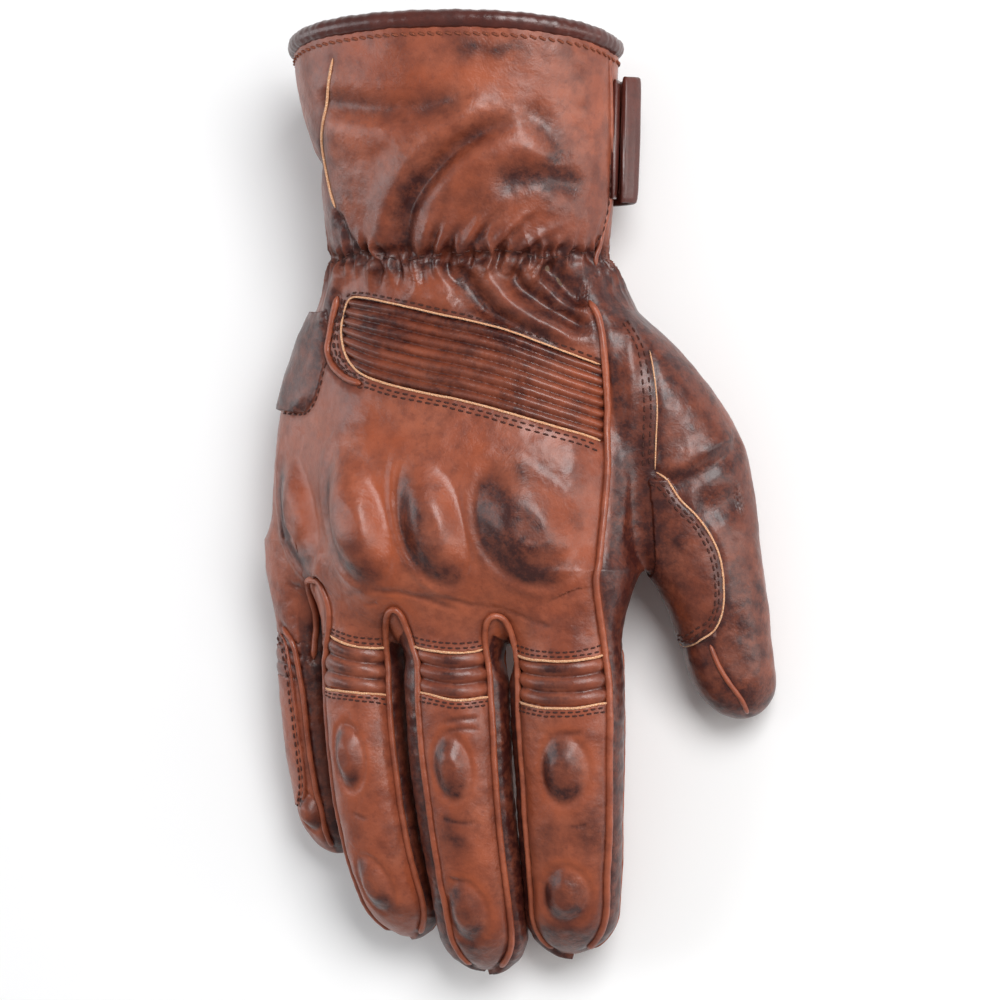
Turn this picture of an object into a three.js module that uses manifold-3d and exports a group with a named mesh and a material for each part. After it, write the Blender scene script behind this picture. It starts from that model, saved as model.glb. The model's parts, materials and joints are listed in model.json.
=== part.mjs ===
// A right-hand motorcycle glove in leather, lying palm down: gauntlet cuff, closing strap, armoured
// knuckles, four jointed fingers and a jointed thumb. Every cut piece is its own closed solid.
// Millimetres. +X towards the thumb, +Y towards the cuff, +Z out of the back of the hand.
import * as THREE from "three";
import { mergeVertices } from "three/addons/utils/BufferGeometryUtils.js";
import Module from "manifold-3d";

const wasm = await Module();
wasm.setup();

// ---- driving dimensions -------------------------------------------------------------------------
const LEATHER = 1.4; // thickness of the outer leather
const GAP = 0.35; // clearance left between neighbouring pieces
const LAYER_GAP = 1; // clearance under a curved skin, whose facets differ from the layer's below
const LINING = 0.8; // thickness of the textile lining
const LINING_DEPTH = 4.2; // how far the lining lies under the glove's outer surface
const FINGER_WALL = 2.0; // leather and lining of a finger, glued together
const CUFF_TOP = 124; // height of the cuff's mouth at its sides
const CUFF_TOP_RISE = 6.5; // how much higher the mouth is on the back of the hand
const CUFF_TOP_DIP = 1.5; // and how much lower it is on the palm side
const WRIST = 65; // the gathered wrist line, where the cuff folds
const KNUCKLE_LINE = -38; // where the palm ends and the fingers start
const STRAP_LOW = 82; // the closing strap's two edges, along the arm
const STRAP_HIGH = 117;
const WRIST_SWING = 25; // degrees that the cuff folds either way

const rad = THREE.MathUtils.degToRad;
const smooth = (a, b, x) => THREE.MathUtils.smoothstep(x, a, b);

// Materials, one for each kind of stuff in the glove.
const stuff = (color, roughness) => new THREE.MeshStandardMaterial({ color, roughness, metalness: 0 });
const OUTER_LEATHER = stuff(0x8a4a2b, 0.45);
const DARK_LEATHER = stuff(0x5c2c1c, 0.4);
const LINING_CLOTH = stuff(0x2c211c, 0.95);
const FOAM = stuff(0x3a3633, 0.9);
const HARD_SHELL = stuff(0x1d1d1f, 0.5);
const HOOK_AND_LOOP = stuff(0x241a16, 0.95);

// ---- tracks: a smooth value along the glove's length --------------------------------------------
// Rows are [y, value, value...], from the cuff towards the fingertips. Returns y -> [values].
function track(rows) {
  const tangent = (i, k) => {
    const a = rows[Math.max(i - 1, 0)];
    const b = rows[Math.min(i + 1, rows.length - 1)];
    return (b[k] - a[k]) / (b[0] - a[0]);
  };
  return (y) => {
    const last = rows.length - 2;
    let i = rows.findIndex((row, n) => n <= last && y >= rows[n + 1][0]);
    if (i < 0) i = last;
    const [from, to] = [rows[i], rows[i + 1]];
    const span = to[0] - from[0];
    const t = THREE.MathUtils.clamp((y - from[0]) / span, 0, 1);
    const [t2, t3] = [t * t, t * t * t];
    return from.slice(1).map((value, n) => {
      const k = n + 1;
      return (2 * t3 - 3 * t2 + 1) * value + (t3 - 2 * t2 + t) * span * tangent(i, k)
        + (3 * t2 - 2 * t3) * to[k] + (t3 - t2) * span * tangent(i + 1, k);
    });
  };
}

// ---- cross-sections -----------------------------------------------------------------------------
// A section is a function (y, degrees, offset) -> Vector3. 0 degrees is the thumb side, 90 the back
// of the hand, 180 the little-finger side and 270 the palm. A positive offset lies outside.
const superellipse = (degrees, halfWidth, halfDepth, power) => {
  const [c, s] = [Math.cos(rad(degrees)), Math.sin(rad(degrees))];
  return [
    halfWidth * Math.sign(c) * Math.abs(c) ** (2 / power),
    halfDepth * Math.sign(s) * Math.abs(s) ** (2 / power),
  ];
};

// The palm and the back of the hand: an oval that arches down towards the little finger.
// Columns: y, centre x, centre z, half width, half depth, drop of the little-finger side.
const handTrack = track([
  [74, -10.8, 27.5, 40.5, 23, 0],
  [58, -11.4, 27, 42.8, 21, 2],
  [45, -14, 28, 47.5, 21.5, 6],
  [27, -16.2, 31, 52, 21.2, 11],
  [8, -16.7, 33.5, 54.6, 20.5, 14],
  [-12, -16.8, 35, 55.2, 19.5, 17],
  [-29, -16.7, 35.5, 54.2, 17.5, 18],
  [-44, -16.9, 34.5, 53.4, 15, 18],
]);
const HAND_POWER = 2.35;
const ARCH_FROM = 15; // the arch starts this far to the little-finger side of the centre
const ARCH_TO = 46; // and is complete this far out
const INDEX_DROP = 2.5;

function hand(y, degrees, offset = 0) {
  const [x, z, halfWidth, halfDepth, drop] = handTrack(y);
  const [u, v] = superellipse(degrees, halfWidth + offset, halfDepth + offset, HAND_POWER);
  const arch = drop * smooth(ARCH_FROM, ARCH_TO, -u) + INDEX_DROP * (Math.max(u, 0) / halfWidth) ** 2;
  return new THREE.Vector3(x + u, y, z + v - arch);
}

// The gauntlet. Columns: y, centre x, centre z, half width, half depth.
const cuffTrack = track([
  [140, -13.4, 32.5, 47.6, 28],
  [115, -13, 32, 46, 27.2],
  [93, -10.6, 31, 42.8, 26],
  [79, -10.6, 29.6, 41.6, 24.6],
  [66, -11, 28, 39.6, 23],
]);
const CUFF_POWER = 2.15;

function cuff(y, degrees, offset = 0) {
  const [x, z, halfWidth, halfDepth] = cuffTrack(y);
  const [u, v] = superellipse(degrees, halfWidth + offset, halfDepth + offset, CUFF_POWER);
  return new THREE.Vector3(x + u, y, z + v);
}
function cuffTop(degrees) {
  const up = Math.sin(rad(degrees));
  return CUFF_TOP + up * (up > 0 ? CUFF_TOP_RISE : CUFF_TOP_DIP);
}

// Fingers and thumb. Columns: y, centre x, centre z, half width, half depth.
const CAP = 13; // length of the rounded fingertip
const DIGIT_POWER = 2.15;
const DIGITS = {
  index: {
    rows: [[-20, 20, 33.5, 15.4, 13.2], [-42, 20.1, 33, 15.4, 12.8], [-63, 20.5, 31.6, 15.4, 12.3],
      [-85, 20.1, 28.6, 14.6, 11.8], [-100, 19.5, 25.4, 13.6, 11.3], [-115, 18.1, 20.5, 12.8, 10.6],
      [-128.7, 15.8, 14.4, 12.2, 10]],
    roll: 2, hingeRoll: 4, joints: [KNUCKLE_LINE, -60, -99], start: KNUCKLE_LINE, tip: -128.7,
  },
  middle: {
    rows: [[-20, -12.5, 35.5, 13.6, 13.2], [-42, -12.5, 35, 13.6, 12.7],
      [-63, -11.9, 34.4, 13.6, 12.2], [-85, -10.9, 31.8, 13, 11.7], [-107, -9.6, 26.6, 12.3, 11.1],
      [-120, -9.5, 21, 12, 10.6], [-134, -9.8, 14.2, 11.6, 10]],
    roll: 10, hingeRoll: 9, joints: [KNUCKLE_LINE, -61, -104], start: KNUCKLE_LINE, tip: -134,
  },
  ring: {
    rows: [[-16, -41.2, 31, 11.4, 12.2], [-42, -41.1, 30.4, 11.2, 11.6],
      [-62, -40.4, 30.2, 11.2, 11.3], [-82, -38.8, 28.4, 11.4, 11.1], [-100, -36.8, 24.6, 11.3, 10.8],
      [-112, -34.7, 19.8, 11, 10.4], [-125.3, -33, 13.8, 10.6, 10]],
    roll: 20, hingeRoll: 14, joints: [KNUCKLE_LINE, -59, -99], start: KNUCKLE_LINE, tip: -125.3,
  },
  little: {
    rows: [[-12, -61.4, 18.6, 10.4, 10.4], [-36, -61.4, 17.4, 10, 10], [-58, -60.8, 15.4, 9.9, 9.9],
      [-74, -59.8, 13, 9.9, 9.8], [-88, -58, 10.8, 9.8, 9.6], [-102, -56, 9.2, 9.4, 9.2]],
    roll: 42, hingeRoll: 15, joints: [KNUCKLE_LINE, -54.5, -78], start: KNUCKLE_LINE, tip: -102,
  },
  thumb: {
    rows: [[52, 22, 24, 13, 14], [41, 33.5, 23, 15, 14.6], [27, 44.2, 21.4, 16, 14.4],
      [14, 50.8, 19.6, 16, 14], [0, 53.4, 18, 15.8, 13.6], [-14, 55.4, 16.8, 15.2, 13.2],
      [-28, 58.2, 15.4, 14.2, 12.4], [-40, 60.2, 13, 12.8, 11.6], [-61.8, 63.6, 10.4, 11.4, 10.4]],
    roll: -24, hingeRoll: -22, joints: [6, -27], start: 44, tip: -61.8,
  },
};

// Returns the section of a digit. At the tip its sizes close like an ellipse, so offset moves it too.
function digitSection({ rows, roll, tip }) {
  const along = track(rows);
  const turn = rad(roll);
  return (y, degrees, offset = 0) => {
    const [x, z, halfWidth, halfDepth] = along(y);
    const reach = CAP + offset;
    const close = y < tip + CAP ? Math.sqrt(Math.max(0, 1 - ((tip + CAP - y) / reach) ** 2)) : 1;
    const [wide, deep] = [(halfWidth + offset) * close, (halfDepth + offset) * close];
    const [u, v] = superellipse(degrees, wide, deep, DIGIT_POWER);
    const [c, s] = [Math.cos(turn), Math.sin(turn)];
    return new THREE.Vector3(x + u * c - v * s, y, z + u * s + v * c);
  };
}

// ---- closed walls -------------------------------------------------------------------------------
// Builds a closed solid between two grids of points. Rows run along the glove. Columns run round it:
// ring joins the last column to the first, and tip draws the last row together in one point.
function closedWall(outer, inner, { ring = false, tip = false } = {}) {
  const [rows, columns] = [outer.length, outer[0].length];
  const points = [...outer.flat(), ...inner.flat()];
  const at = (layer, i, j) => {
    const column = tip && i === rows - 1 ? 0 : j % columns;
    return layer * rows * columns + i * columns + column;
  };
  const faces = [];
  const quad = (a, b, c, d) => {
    if (a !== b && b !== c && a !== c) faces.push(a, b, c);
    if (a !== c && c !== d && a !== d) faces.push(a, c, d);
  };
  const lastColumn = ring ? columns : columns - 1;
  for (let i = 0; i < rows - 1; i += 1) {
    for (let j = 0; j < lastColumn; j += 1) {
      quad(at(0, i, j), at(0, i, j + 1), at(0, i + 1, j + 1), at(0, i + 1, j));
      quad(at(1, i, j), at(1, i + 1, j), at(1, i + 1, j + 1), at(1, i, j + 1));
    }
    if (!ring) {
      quad(at(0, i, 0), at(0, i + 1, 0), at(1, i + 1, 0), at(1, i, 0));
      quad(at(0, i, lastColumn), at(1, i, lastColumn), at(1, i + 1, lastColumn), at(0, i + 1, lastColumn));
    }
  }
  for (let j = 0; j < lastColumn; j += 1) {
    quad(at(0, 0, j), at(1, 0, j), at(1, 0, j + 1), at(0, 0, j + 1));
    if (!tip) quad(at(0, rows - 1, j), at(0, rows - 1, j + 1), at(1, rows - 1, j + 1), at(1, rows - 1, j));
  }
  return meshOf(points, faces);
}

function meshOf(points, faces) {
  const geometry = new THREE.BufferGeometry().setFromPoints(points);
  geometry.setIndex(faces);
  return geometry;
}

function toSolid(geometry) {
  const bare = new THREE.BufferGeometry().setAttribute("position", geometry.getAttribute("position"));
  bare.setIndex(geometry.index);
  const merged = mergeVertices(bare, 1e-4);
  const index = Array.from(merged.index.array);
  const faces = [];
  for (let i = 0; i < index.length; i += 3) {
    const [a, b, c] = index.slice(i, i + 3);
    if (a !== b && b !== c && a !== c) faces.push(a, b, c);
  }
  const build = (order) => new wasm.Manifold(new wasm.Mesh({
    numProp: 3,
    vertProperties: merged.attributes.position.array,
    triVerts: new Uint32Array(order),
  }));
  const made = build(faces);
  return made.volume() > 0 ? made : build(faces.slice().reverse());
}

function toGeometry(solid) {
  const mesh = solid.getMesh();
  const geometry = new THREE.BufferGeometry();
  geometry.setAttribute("position", new THREE.Float32BufferAttribute(mesh.vertProperties, 3));
  geometry.setIndex(Array.from(mesh.triVerts));
  geometry.computeVertexNormals();
  return geometry;
}

const largest = (solid) => solid.decompose().sort((a, b) => b.volume() - a.volume())[0];
const steps = (from, to, count) =>
  Array.from({ length: count + 1 }, (_, i) => from + ((to - from) * i) / count);

// A closed ring of wall on a section, for cutting other pieces.
function ringSolid(section, { from, to, rows, columns, outer, inner }) {
  const turns = steps(0, 360, columns).slice(0, -1);
  const grid = (offset) => steps(from, to, rows).map((y) => turns.map((a) => section(y, a, offset)));
  return toSolid(closedWall(grid(outer), grid(inner), { ring: true }));
}

// A patch of wall on a section: from and to are y values, or functions of the angle. outer and inner
// are offsets, or functions of (y, angle).
function patch(section, { from, to, angles, outer, inner, rows = 8, columns = 12 }) {
  const value = (x, ...args) => (typeof x === "function" ? x(...args) : x);
  const ring = Math.abs(angles[1] - angles[0]) >= 360;
  const grid = (offset) => steps(0, 1, rows).map((t) => {
    const turns = steps(angles[0], angles[1], columns);
    if (ring) turns.pop();
    return turns.map((degrees) => {
      const start = value(from, degrees);
      const end = value(to, degrees);
      const y = start + (end - start) * t;
      return section(y, degrees, value(offset, y, degrees));
    });
  });
  return toSolid(closedWall(grid(outer), grid(inner), { ring }));
}

// The wall of a whole digit, from y to its tip. The rows crowd towards the tip, where it closes.
function digitWall(digit, { from, angles, outer, inner, rows = 6, columns }) {
  const section = digitSection(digit);
  const capStart = digit.tip + CAP;
  const capRows = 3;
  const ring = Math.abs(angles[1] - angles[0]) >= 360;
  const grid = (offset) => {
    const end = digit.tip - offset;
    const body = steps(from, capStart, rows);
    const cap = steps(0, 90, capRows).slice(1).map((a) => capStart + (end - capStart) * Math.sin(rad(a)));
    const turns = steps(angles[0], angles[1], columns);
    if (ring) turns.pop();
    return [...body, ...cap].map((y) => turns.map((degrees) => section(y, degrees, offset)));
  };
  return toSolid(closedWall(grid(outer), grid(inner), { ring, tip: true }));
}

// ---- hinges -------------------------------------------------------------------------------------
// The frame of a digit's joint: its point, its axis, the way the digit runs, and the way its back faces.
function hingeFrame(digit, y) {
  const along = track(digit.rows);
  const centre = (at) => {
    const [x, z] = along(at);
    return new THREE.Vector3(x, at, z);
  };
  const point = centre(y);
  const run = centre(y - 6).sub(centre(y + 6)).normalize();
  const level = new THREE.Vector3(Math.cos(rad(digit.hingeRoll)), 0, Math.sin(rad(digit.hingeRoll)));
  const back = new THREE.Vector3().crossVectors(run, level).normalize();
  const axis = new THREE.Vector3().crossVectors(back, run).normalize();
  return { point, axis, run, back };
}

// The space that a fold needs: wide on the palm side by the bend, and on the back by the stretch.
function foldGap({ point, axis, run, back }, bend, stretch, reach = 22, width = 50) {
  const palm = GAP + reach * Math.tan(rad(bend / 2));
  const rear = GAP + reach * Math.tan(rad(stretch / 2));
  const outline = new THREE.Shape([
    new THREE.Vector2(-palm, -reach), new THREE.Vector2(palm, -reach), new THREE.Vector2(GAP, 0),
    new THREE.Vector2(rear, reach), new THREE.Vector2(-rear, reach), new THREE.Vector2(-GAP, 0),
  ]);
  const prism = new THREE.ExtrudeGeometry(outline, { depth: width, bevelEnabled: false });
  prism.translate(0, 0, -width / 2);
  const across = axis.clone().negate();
  prism.applyMatrix4(new THREE.Matrix4().makeBasis(run, back, across).setPosition(point));
  return toSolid(new THREE.BufferGeometry().setAttribute("position", prism.getAttribute("position")));
}

// ---- the assembly -------------------------------------------------------------------------------
const glove = new THREE.Group();
const hinges = {};

function add(name, solid, material) {
  const mesh = new THREE.Mesh(toGeometry(largest(solid)), material);
  mesh.name = name;
  glove.add(mesh);
}

// Angles where the pieces meet.
const BACK_RIGHT = 27; // the long welt between the back of the hand and the index side panel
const BACK_LEFT = 168;
const SIDE_RIGHT = -28; // palm seam on the thumb side
const CUFF_SEAM = 146; // the raw-edged seam on the cuff's back
const seam = 0.7; // degrees kept free at each seam

// Digits first, because the palm is cut round the thumb.
const FOLDS = { // degrees that each digit's joints bend, from the hand outwards
  index: [60, 75, 40],
  middle: [58, 72, 40],
  ring: [60, 75, 40],
  little: [60, 72, 40],
  thumb: [22, 40],
};
const STRETCH = 8; // degrees that a digit straightens past its resting curl
const FOLD_SPARE = 3; // degrees of free space kept at a full fold
const SEGMENTS = 3; // solids that each digit's leather is cut into
const BACK_HALF = 52; // half the angle that a digit's back leather covers
const SIDE_SEAM = 2; // degrees kept free between a digit's back and its underside
const FINGERS = ["index", "middle", "ring", "little"];

const digitLeather = {};
for (const [name, digit] of Object.entries(DIGITS)) {
  const parts = name === "thumb" ? ["root", "lower", "tip"] : ["proximal", "middle", "distal"];
  const frames = digit.joints.map((y) => hingeFrame(digit, y));
  hinges[name] = frames;
  const gaps = frames.map((frame, i) =>
    foldGap(frame, FOLDS[name][i] + FOLD_SPARE, STRETCH + FOLD_SPARE));
  const cut = (solid) => {
    const pieces = gaps.reduce((rest, gap) => rest.subtract(gap), solid).decompose();
    const middleY = (piece) => {
      const box = piece.boundingBox();
      return (box.min[1] + box.max[1]) / 2;
    };
    const big = pieces.sort((a, b) => b.volume() - a.volume()).slice(0, SEGMENTS);
    return big.sort((a, b) => middleY(b) - middleY(a));
  };
  const wall = { from: digit.start, outer: 0, inner: -FINGER_WALL };
  const back = cut(digitWall(digit, {
    ...wall, angles: [90 - BACK_HALF, 90 + BACK_HALF], columns: 4,
  }));
  const under = cut(digitWall(digit, {
    ...wall, angles: [90 + BACK_HALF + SIDE_SEAM, 450 - BACK_HALF - SIDE_SEAM], columns: 8,
  }));
  digitLeather[name] = { back, under };
  parts.forEach((part, i) => {
    if (part === "root") return;
    add(`${name}_${part}_under`, under[i], OUTER_LEATHER);
    if (part !== "proximal") add(`${name}_${part}_back`, back[i], OUTER_LEATHER);
  });
}

// Ribbed flex strips on the back of the four finger bases.
const STRIP_RIBS = 3;
const STRIP_MARGIN = 2; // plain leather between a strip and the joints at its ends
const RIB_HEIGHT = 0.8;
// Depth of a ribbed surface below the ribs' tops, that many ribs along.
const ribbed = (ribs) => RIB_HEIGHT * (Math.abs(Math.sin(Math.PI * ribs)) - 1);
for (const name of FINGERS) {
  const digit = DIGITS[name];
  const [knuckle, middleJoint] = digit.joints;
  const strip = patch(digitSection(digit), {
    from: knuckle + STRIP_MARGIN, to: middleJoint - STRIP_MARGIN, angles: [90 - BACK_HALF, 90 + BACK_HALF],
    outer: (y) => ribbed((STRIP_RIBS * (y - knuckle)) / (middleJoint - knuckle)), inner: -FINGER_WALL,
    rows: 14, columns: 2,
  });
  const [fold, next] = digit.joints.map((y, i) =>
    foldGap(hingeFrame(digit, y), FOLDS[name][i] + FOLD_SPARE, STRETCH + FOLD_SPARE));
  const pieces = strip.subtract(fold).subtract(next).decompose();
  const inSpan = pieces.filter((piece) => {
    const box = piece.boundingBox();
    const y = (box.min[1] + box.max[1]) / 2;
    return y < knuckle && y > middleJoint;
  });
  add(`${name}_flex_strip`, inSpan.sort((a, b) => b.volume() - a.volume())[0], OUTER_LEATHER);
}

// Foam pads under the leather over the middle and end knuckles of each finger.
const PAD_THICKNESS = 1.6;
const PADS = [ // part, distance of the pad's two ends past the joint, as y
  ["middle", 1, -5, -17],
  ["distal", 2, -4, -14],
];
for (const name of FINGERS) {
  const digit = DIGITS[name];
  const top = -FINGER_WALL - LAYER_GAP / 2;
  for (const [part, joint, start, end] of PADS) {
    add(`${name}_${part}_pad`, patch(digitSection(digit), {
      from: digit.joints[joint] + start, to: digit.joints[joint] + end, angles: [64, 116],
      outer: top, inner: top - PAD_THICKNESS, rows: 2, columns: 2,
    }), FOAM);
  }
}

// The thumb's root is fixed to the hand. It opens into the palm.
const thumbSection = digitSection(DIGITS.thumb);
const CORE = -12; // a cutting wall reaches this far in
const handVolume = ringSolid(hand, {
  from: 72, to: KNUCKLE_LINE, rows: 8, columns: 24, outer: GAP, inner: CORE,
});
const thumbVolume = ringSolid(thumbSection, {
  from: 43, to: -4, rows: 6, columns: 16, outer: GAP, inner: CORE,
});
const thumbHole = ringSolid(thumbSection, {
  from: 40, to: 2, rows: 5, columns: 16, outer: -FINGER_WALL - 1, inner: CORE - 0.5,
});
add("thumb_root_back", digitLeather.thumb.back[0].subtract(handVolume), DARK_LEATHER);
add("thumb_root_under", digitLeather.thumb.under[0].subtract(handVolume), OUTER_LEATHER);
add("thumb_grip_patch", patch(thumbSection, {
  from: 0, to: -22, angles: [196, 262], outer: GAP + 1.2, inner: GAP, rows: 3, columns: 3,
}), OUTER_LEATHER);

// The hand ends at the knuckle line, mitred so that the fingers can bend and stretch.
function handEnd(degrees) {
  const [, , halfWidth, halfDepth] = handTrack(KNUCKLE_LINE);
  const [, v] = superellipse(degrees, halfWidth, halfDepth, HAND_POWER);
  const mitre = v > 0 ? (STRETCH + FOLD_SPARE) / 2 : (FOLDS.index[0] + FOLD_SPARE) / 2;
  return KNUCKLE_LINE + 2 * GAP + Math.abs(v) * Math.tan(rad(mitre));
}

// Back of the hand, from the knuckles to the wrist.
const KNUCKLES = [[18, -9, 13], [-10, -10, 12], [-35.5, -9, 11.5], [-56, -6, 9.5]]; // x, y, radius
const KNUCKLE_RISE = 4.6;
const KNUCKLE_LENGTH = 1.5; // a dome's length over its width
const KNUCKLE_FALL = 1.6; // how fast a dome falls away
function knuckleRise(y, degrees) {
  const { x } = hand(y, degrees);
  const domes = KNUCKLES.map(([cx, cy, r]) => {
    const away = ((x - cx) / r) ** 2 + ((y - cy) / (KNUCKLE_LENGTH * r)) ** 2;
    return Math.exp(-KNUCKLE_FALL * away);
  });
  return KNUCKLE_RISE * Math.max(...domes);
}
// The flex panel slants like the row of knuckles.
const flexLower = (degrees) => 12 + 14 * smooth(60, 150, degrees);
const flexUpper = (degrees) => flexLower(degrees) + 26 + 3 * smooth(60, 150, degrees);
add("knuckle_panel", patch(hand, {
  from: (a) => flexLower(a) - GAP, to: handEnd, angles: [BACK_RIGHT, BACK_LEFT],
  outer: knuckleRise, inner: (y, a) => knuckleRise(y, a) - LEATHER, rows: 8, columns: 18,
}), OUTER_LEATHER);
add("knuckle_guard", patch(hand, {
  from: 8, to: -24, angles: [44, 158],
  outer: (y, a) => 0.9 * knuckleRise(y, a) - LEATHER - LAYER_GAP, inner: -LEATHER - LAYER_GAP - 1,
  rows: 4, columns: 14,
}), HARD_SHELL);
const SLANT_RIB = 3.9; // distance between the ribs of the back's flex panel
const YOKE_LEFT = 138; // seam between the yoke and the outer edge panel
const HAND_TOP = 60; // where the hand's panels meet the gathered wrist
add("back_flex_panel", patch(hand, {
  from: (a) => flexUpper(a) - GAP, to: (a) => flexLower(a) + GAP, angles: [BACK_RIGHT + seam, YOKE_LEFT],
  outer: (y, a) => ribbed((y - flexLower(a)) / SLANT_RIB),
  inner: -LEATHER - RIB_HEIGHT / 2, rows: 21, columns: 5,
}), OUTER_LEATHER);
add("back_yoke", patch(hand, {
  from: HAND_TOP, to: (a) => flexUpper(a) + GAP, angles: [BACK_RIGHT, YOKE_LEFT],
  outer: 0, inner: -LEATHER, rows: 3, columns: 9,
}), OUTER_LEATHER);
add("back_edge_panel", patch(hand, {
  from: HAND_TOP, to: (a) => flexLower(a) + GAP, angles: [YOKE_LEFT + seam, BACK_LEFT],
  outer: 0, inner: -LEATHER, rows: 4, columns: 3,
}), OUTER_LEATHER);
const indexSide = patch(hand, {
  from: HAND_TOP, to: handEnd, angles: [SIDE_RIGHT + seam, BACK_RIGHT - seam],
  outer: 0, inner: -LEATHER, rows: 8, columns: 4,
});
const sideCut = thumbHole.add(thumbVolume.subtract(handVolume));
add("index_side_panel", indexSide.subtract(sideCut), DARK_LEATHER);

// Palm, with its padded heel. The heel's underside is flat, and the glove rests on it.
const palm = patch(hand, {
  from: HAND_TOP, to: handEnd, angles: [BACK_LEFT + seam, 360 + SIDE_RIGHT - seam],
  outer: 0, inner: -LEATHER, rows: 8, columns: 16,
});
add("palm_panel", palm.subtract(thumbHole), OUTER_LEATHER);
add("edge_slider", patch(hand, {
  from: 48, to: 22, angles: [158, 196], outer: 1.2 + GAP, inner: GAP, rows: 3, columns: 4,
}), DARK_LEATHER);
const HEEL_DEPTH = 12; // more than the heel needs, because the floor's plane cuts it
const heelBlock = patch(hand, {
  from: 54, to: 18, angles: [222, 286], outer: HEEL_DEPTH, inner: LAYER_GAP, rows: 4, columns: 7,
});
const FLOOR_Z = 0.2; // the plane that the heel, cuff and fingertips stand on, before centring
const SLAB = { width: 90, height: 30 };
const aboveFloor = new THREE.BoxGeometry(SLAB.width, SLAB.width, SLAB.height);
aboveFloor.translate(-20, 36, FLOOR_Z + SLAB.height / 2);
add("palm_heel_pad", heelBlock.intersect(toSolid(aboveFloor)), DARK_LEATHER);

// Lining of the hand, open to the fingers and the thumb.
const lining = patch(hand, {
  from: HAND_TOP, to: (a) => handEnd(a) + 2, angles: [0, 360],
  outer: -LINING_DEPTH, inner: -LINING_DEPTH - LINING, rows: 5, columns: 22,
});
add("hand_lining", lining.subtract(thumbHole), LINING_CLOTH);
add("wrist_elastic", patch(hand, {
  from: 59, to: 55, angles: [0, 360],
  outer: -LEATHER - GAP, inner: -LEATHER - GAP - 1, rows: 1, columns: 22,
}), HOOK_AND_LOOP);

// The gauntlet cuff folds at the wrist, so its lower edge stands back above and below the hinge.
const wristPoint = new THREE.Vector3(-11, WRIST, 27.5);
const cuffFoot = (degrees) => {
  const { z } = cuff(WRIST + 6, degrees);
  return WRIST + GAP + Math.abs(z - wristPoint.z) * Math.tan(rad(WRIST_SWING)) * 0.9;
};
hinges.wrist = [{ point: wristPoint, axis: new THREE.Vector3(1, 0, 0) }];
add("cuff_back_panel", patch(cuff, {
  from: cuffTop, to: cuffFoot, angles: [-4, CUFF_SEAM],
  outer: 0, inner: -LEATHER, rows: 4, columns: 12,
}), OUTER_LEATHER);
add("cuff_palm_panel", patch(cuff, {
  from: cuffTop, to: cuffFoot, angles: [CUFF_SEAM + seam, 356 - seam],
  outer: 0, inner: -LEATHER, rows: 4, columns: 16,
}), OUTER_LEATHER);
add("cuff_lining", patch(cuff, {
  from: (a) => cuffTop(a) - 1, to: (a) => cuffFoot(a) + 1, angles: [0, 360],
  outer: -LEATHER - LAYER_GAP, inner: -LEATHER - LAYER_GAP - LINING, rows: 3, columns: 24,
}), LINING_CLOTH);

// The rolled binding round the cuff's mouth.
const BINDING_RADIUS = 2.1;
class MouthCurve extends THREE.Curve {
  getPoint(t) {
    const degrees = t * 360;
    const y = cuffTop(degrees);
    return cuff(y, degrees, -LEATHER / 2).setY(y + BINDING_RADIUS + GAP);
  }
}
const bindingOutline = new THREE.Shape().absarc(0, 0, BINDING_RADIUS, 0, 2 * Math.PI);
const mouth = new MouthCurve();
const bindingSteps = 32;
const bindingRings = steps(0, 1, bindingSteps).slice(0, -1).map((t) => {
  const centre = mouth.getPoint(t);
  const forward = mouth.getTangent(t);
  const out = new THREE.Vector3().crossVectors(forward, new THREE.Vector3(0, 1, 0)).normalize();
  const up = new THREE.Vector3().crossVectors(out, forward).normalize();
  return bindingOutline.getPoints(2).slice(0, -1).map((p) =>
    centre.clone().addScaledVector(out, p.x).addScaledVector(up, p.y));
});
const ringSize = bindingRings[0].length;
const bindingPoint = (i, j) => (i % bindingSteps) * ringSize + (j % ringSize);
const bindingFaces = bindingRings.flatMap((ring, i) => ring.flatMap((_, j) => {
  const [a, b] = [bindingPoint(i, j), bindingPoint(i + 1, j)];
  const [c, d] = [bindingPoint(i + 1, j + 1), bindingPoint(i, j + 1)];
  return [a, b, c, a, c, d];
}));
add("cuff_binding", toSolid(meshOf(bindingRings.flat(), bindingFaces)), DARK_LEATHER);

// The closing strap is sewn on at the thumb side and wraps under the cuff onto hook-and-loop.
const STRAP_ROOT = -4; // degrees, where the strap is sewn to the cuff
const STRAP_END = -118;
const STRAP_LIFT = 2.4; // height of the strap over the cuff where the hook tape holds it
const STRAP_BULGE = 1.9; // how much further its side stands off the cuff
const STRAP_TUCK = 2.6; // and how much its root turns back in
const strapLift = (_, degrees) =>
  STRAP_LIFT + STRAP_BULGE * smooth(-60, -22, degrees) - STRAP_TUCK * smooth(-16, STRAP_ROOT, degrees);
add("strap", patch(cuff, {
  from: STRAP_HIGH, to: STRAP_LOW, angles: [STRAP_ROOT, STRAP_END],
  outer: (y, a) => strapLift(y, a) + LEATHER, inner: strapLift, rows: 1, columns: 18,
}), DARK_LEATHER);
const TAPE = 1.2; // height of the loop tape over the cuff
add("strap_hook_patch", patch(cuff, {
  from: STRAP_HIGH - 4, to: STRAP_LOW + 4, angles: [-78, STRAP_END + 4],
  outer: STRAP_LIFT - GAP, inner: TAPE + GAP, rows: 1, columns: 5,
}), HOOK_AND_LOOP);
add("cuff_loop_patch", patch(cuff, {
  from: STRAP_HIGH - 2, to: STRAP_LOW + 2, angles: [-70, -140],
  outer: TAPE, inner: GAP, rows: 1, columns: 8,
}), HOOK_AND_LOOP);
const strapMiddle = (STRAP_HIGH + STRAP_LOW) / 2;
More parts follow.
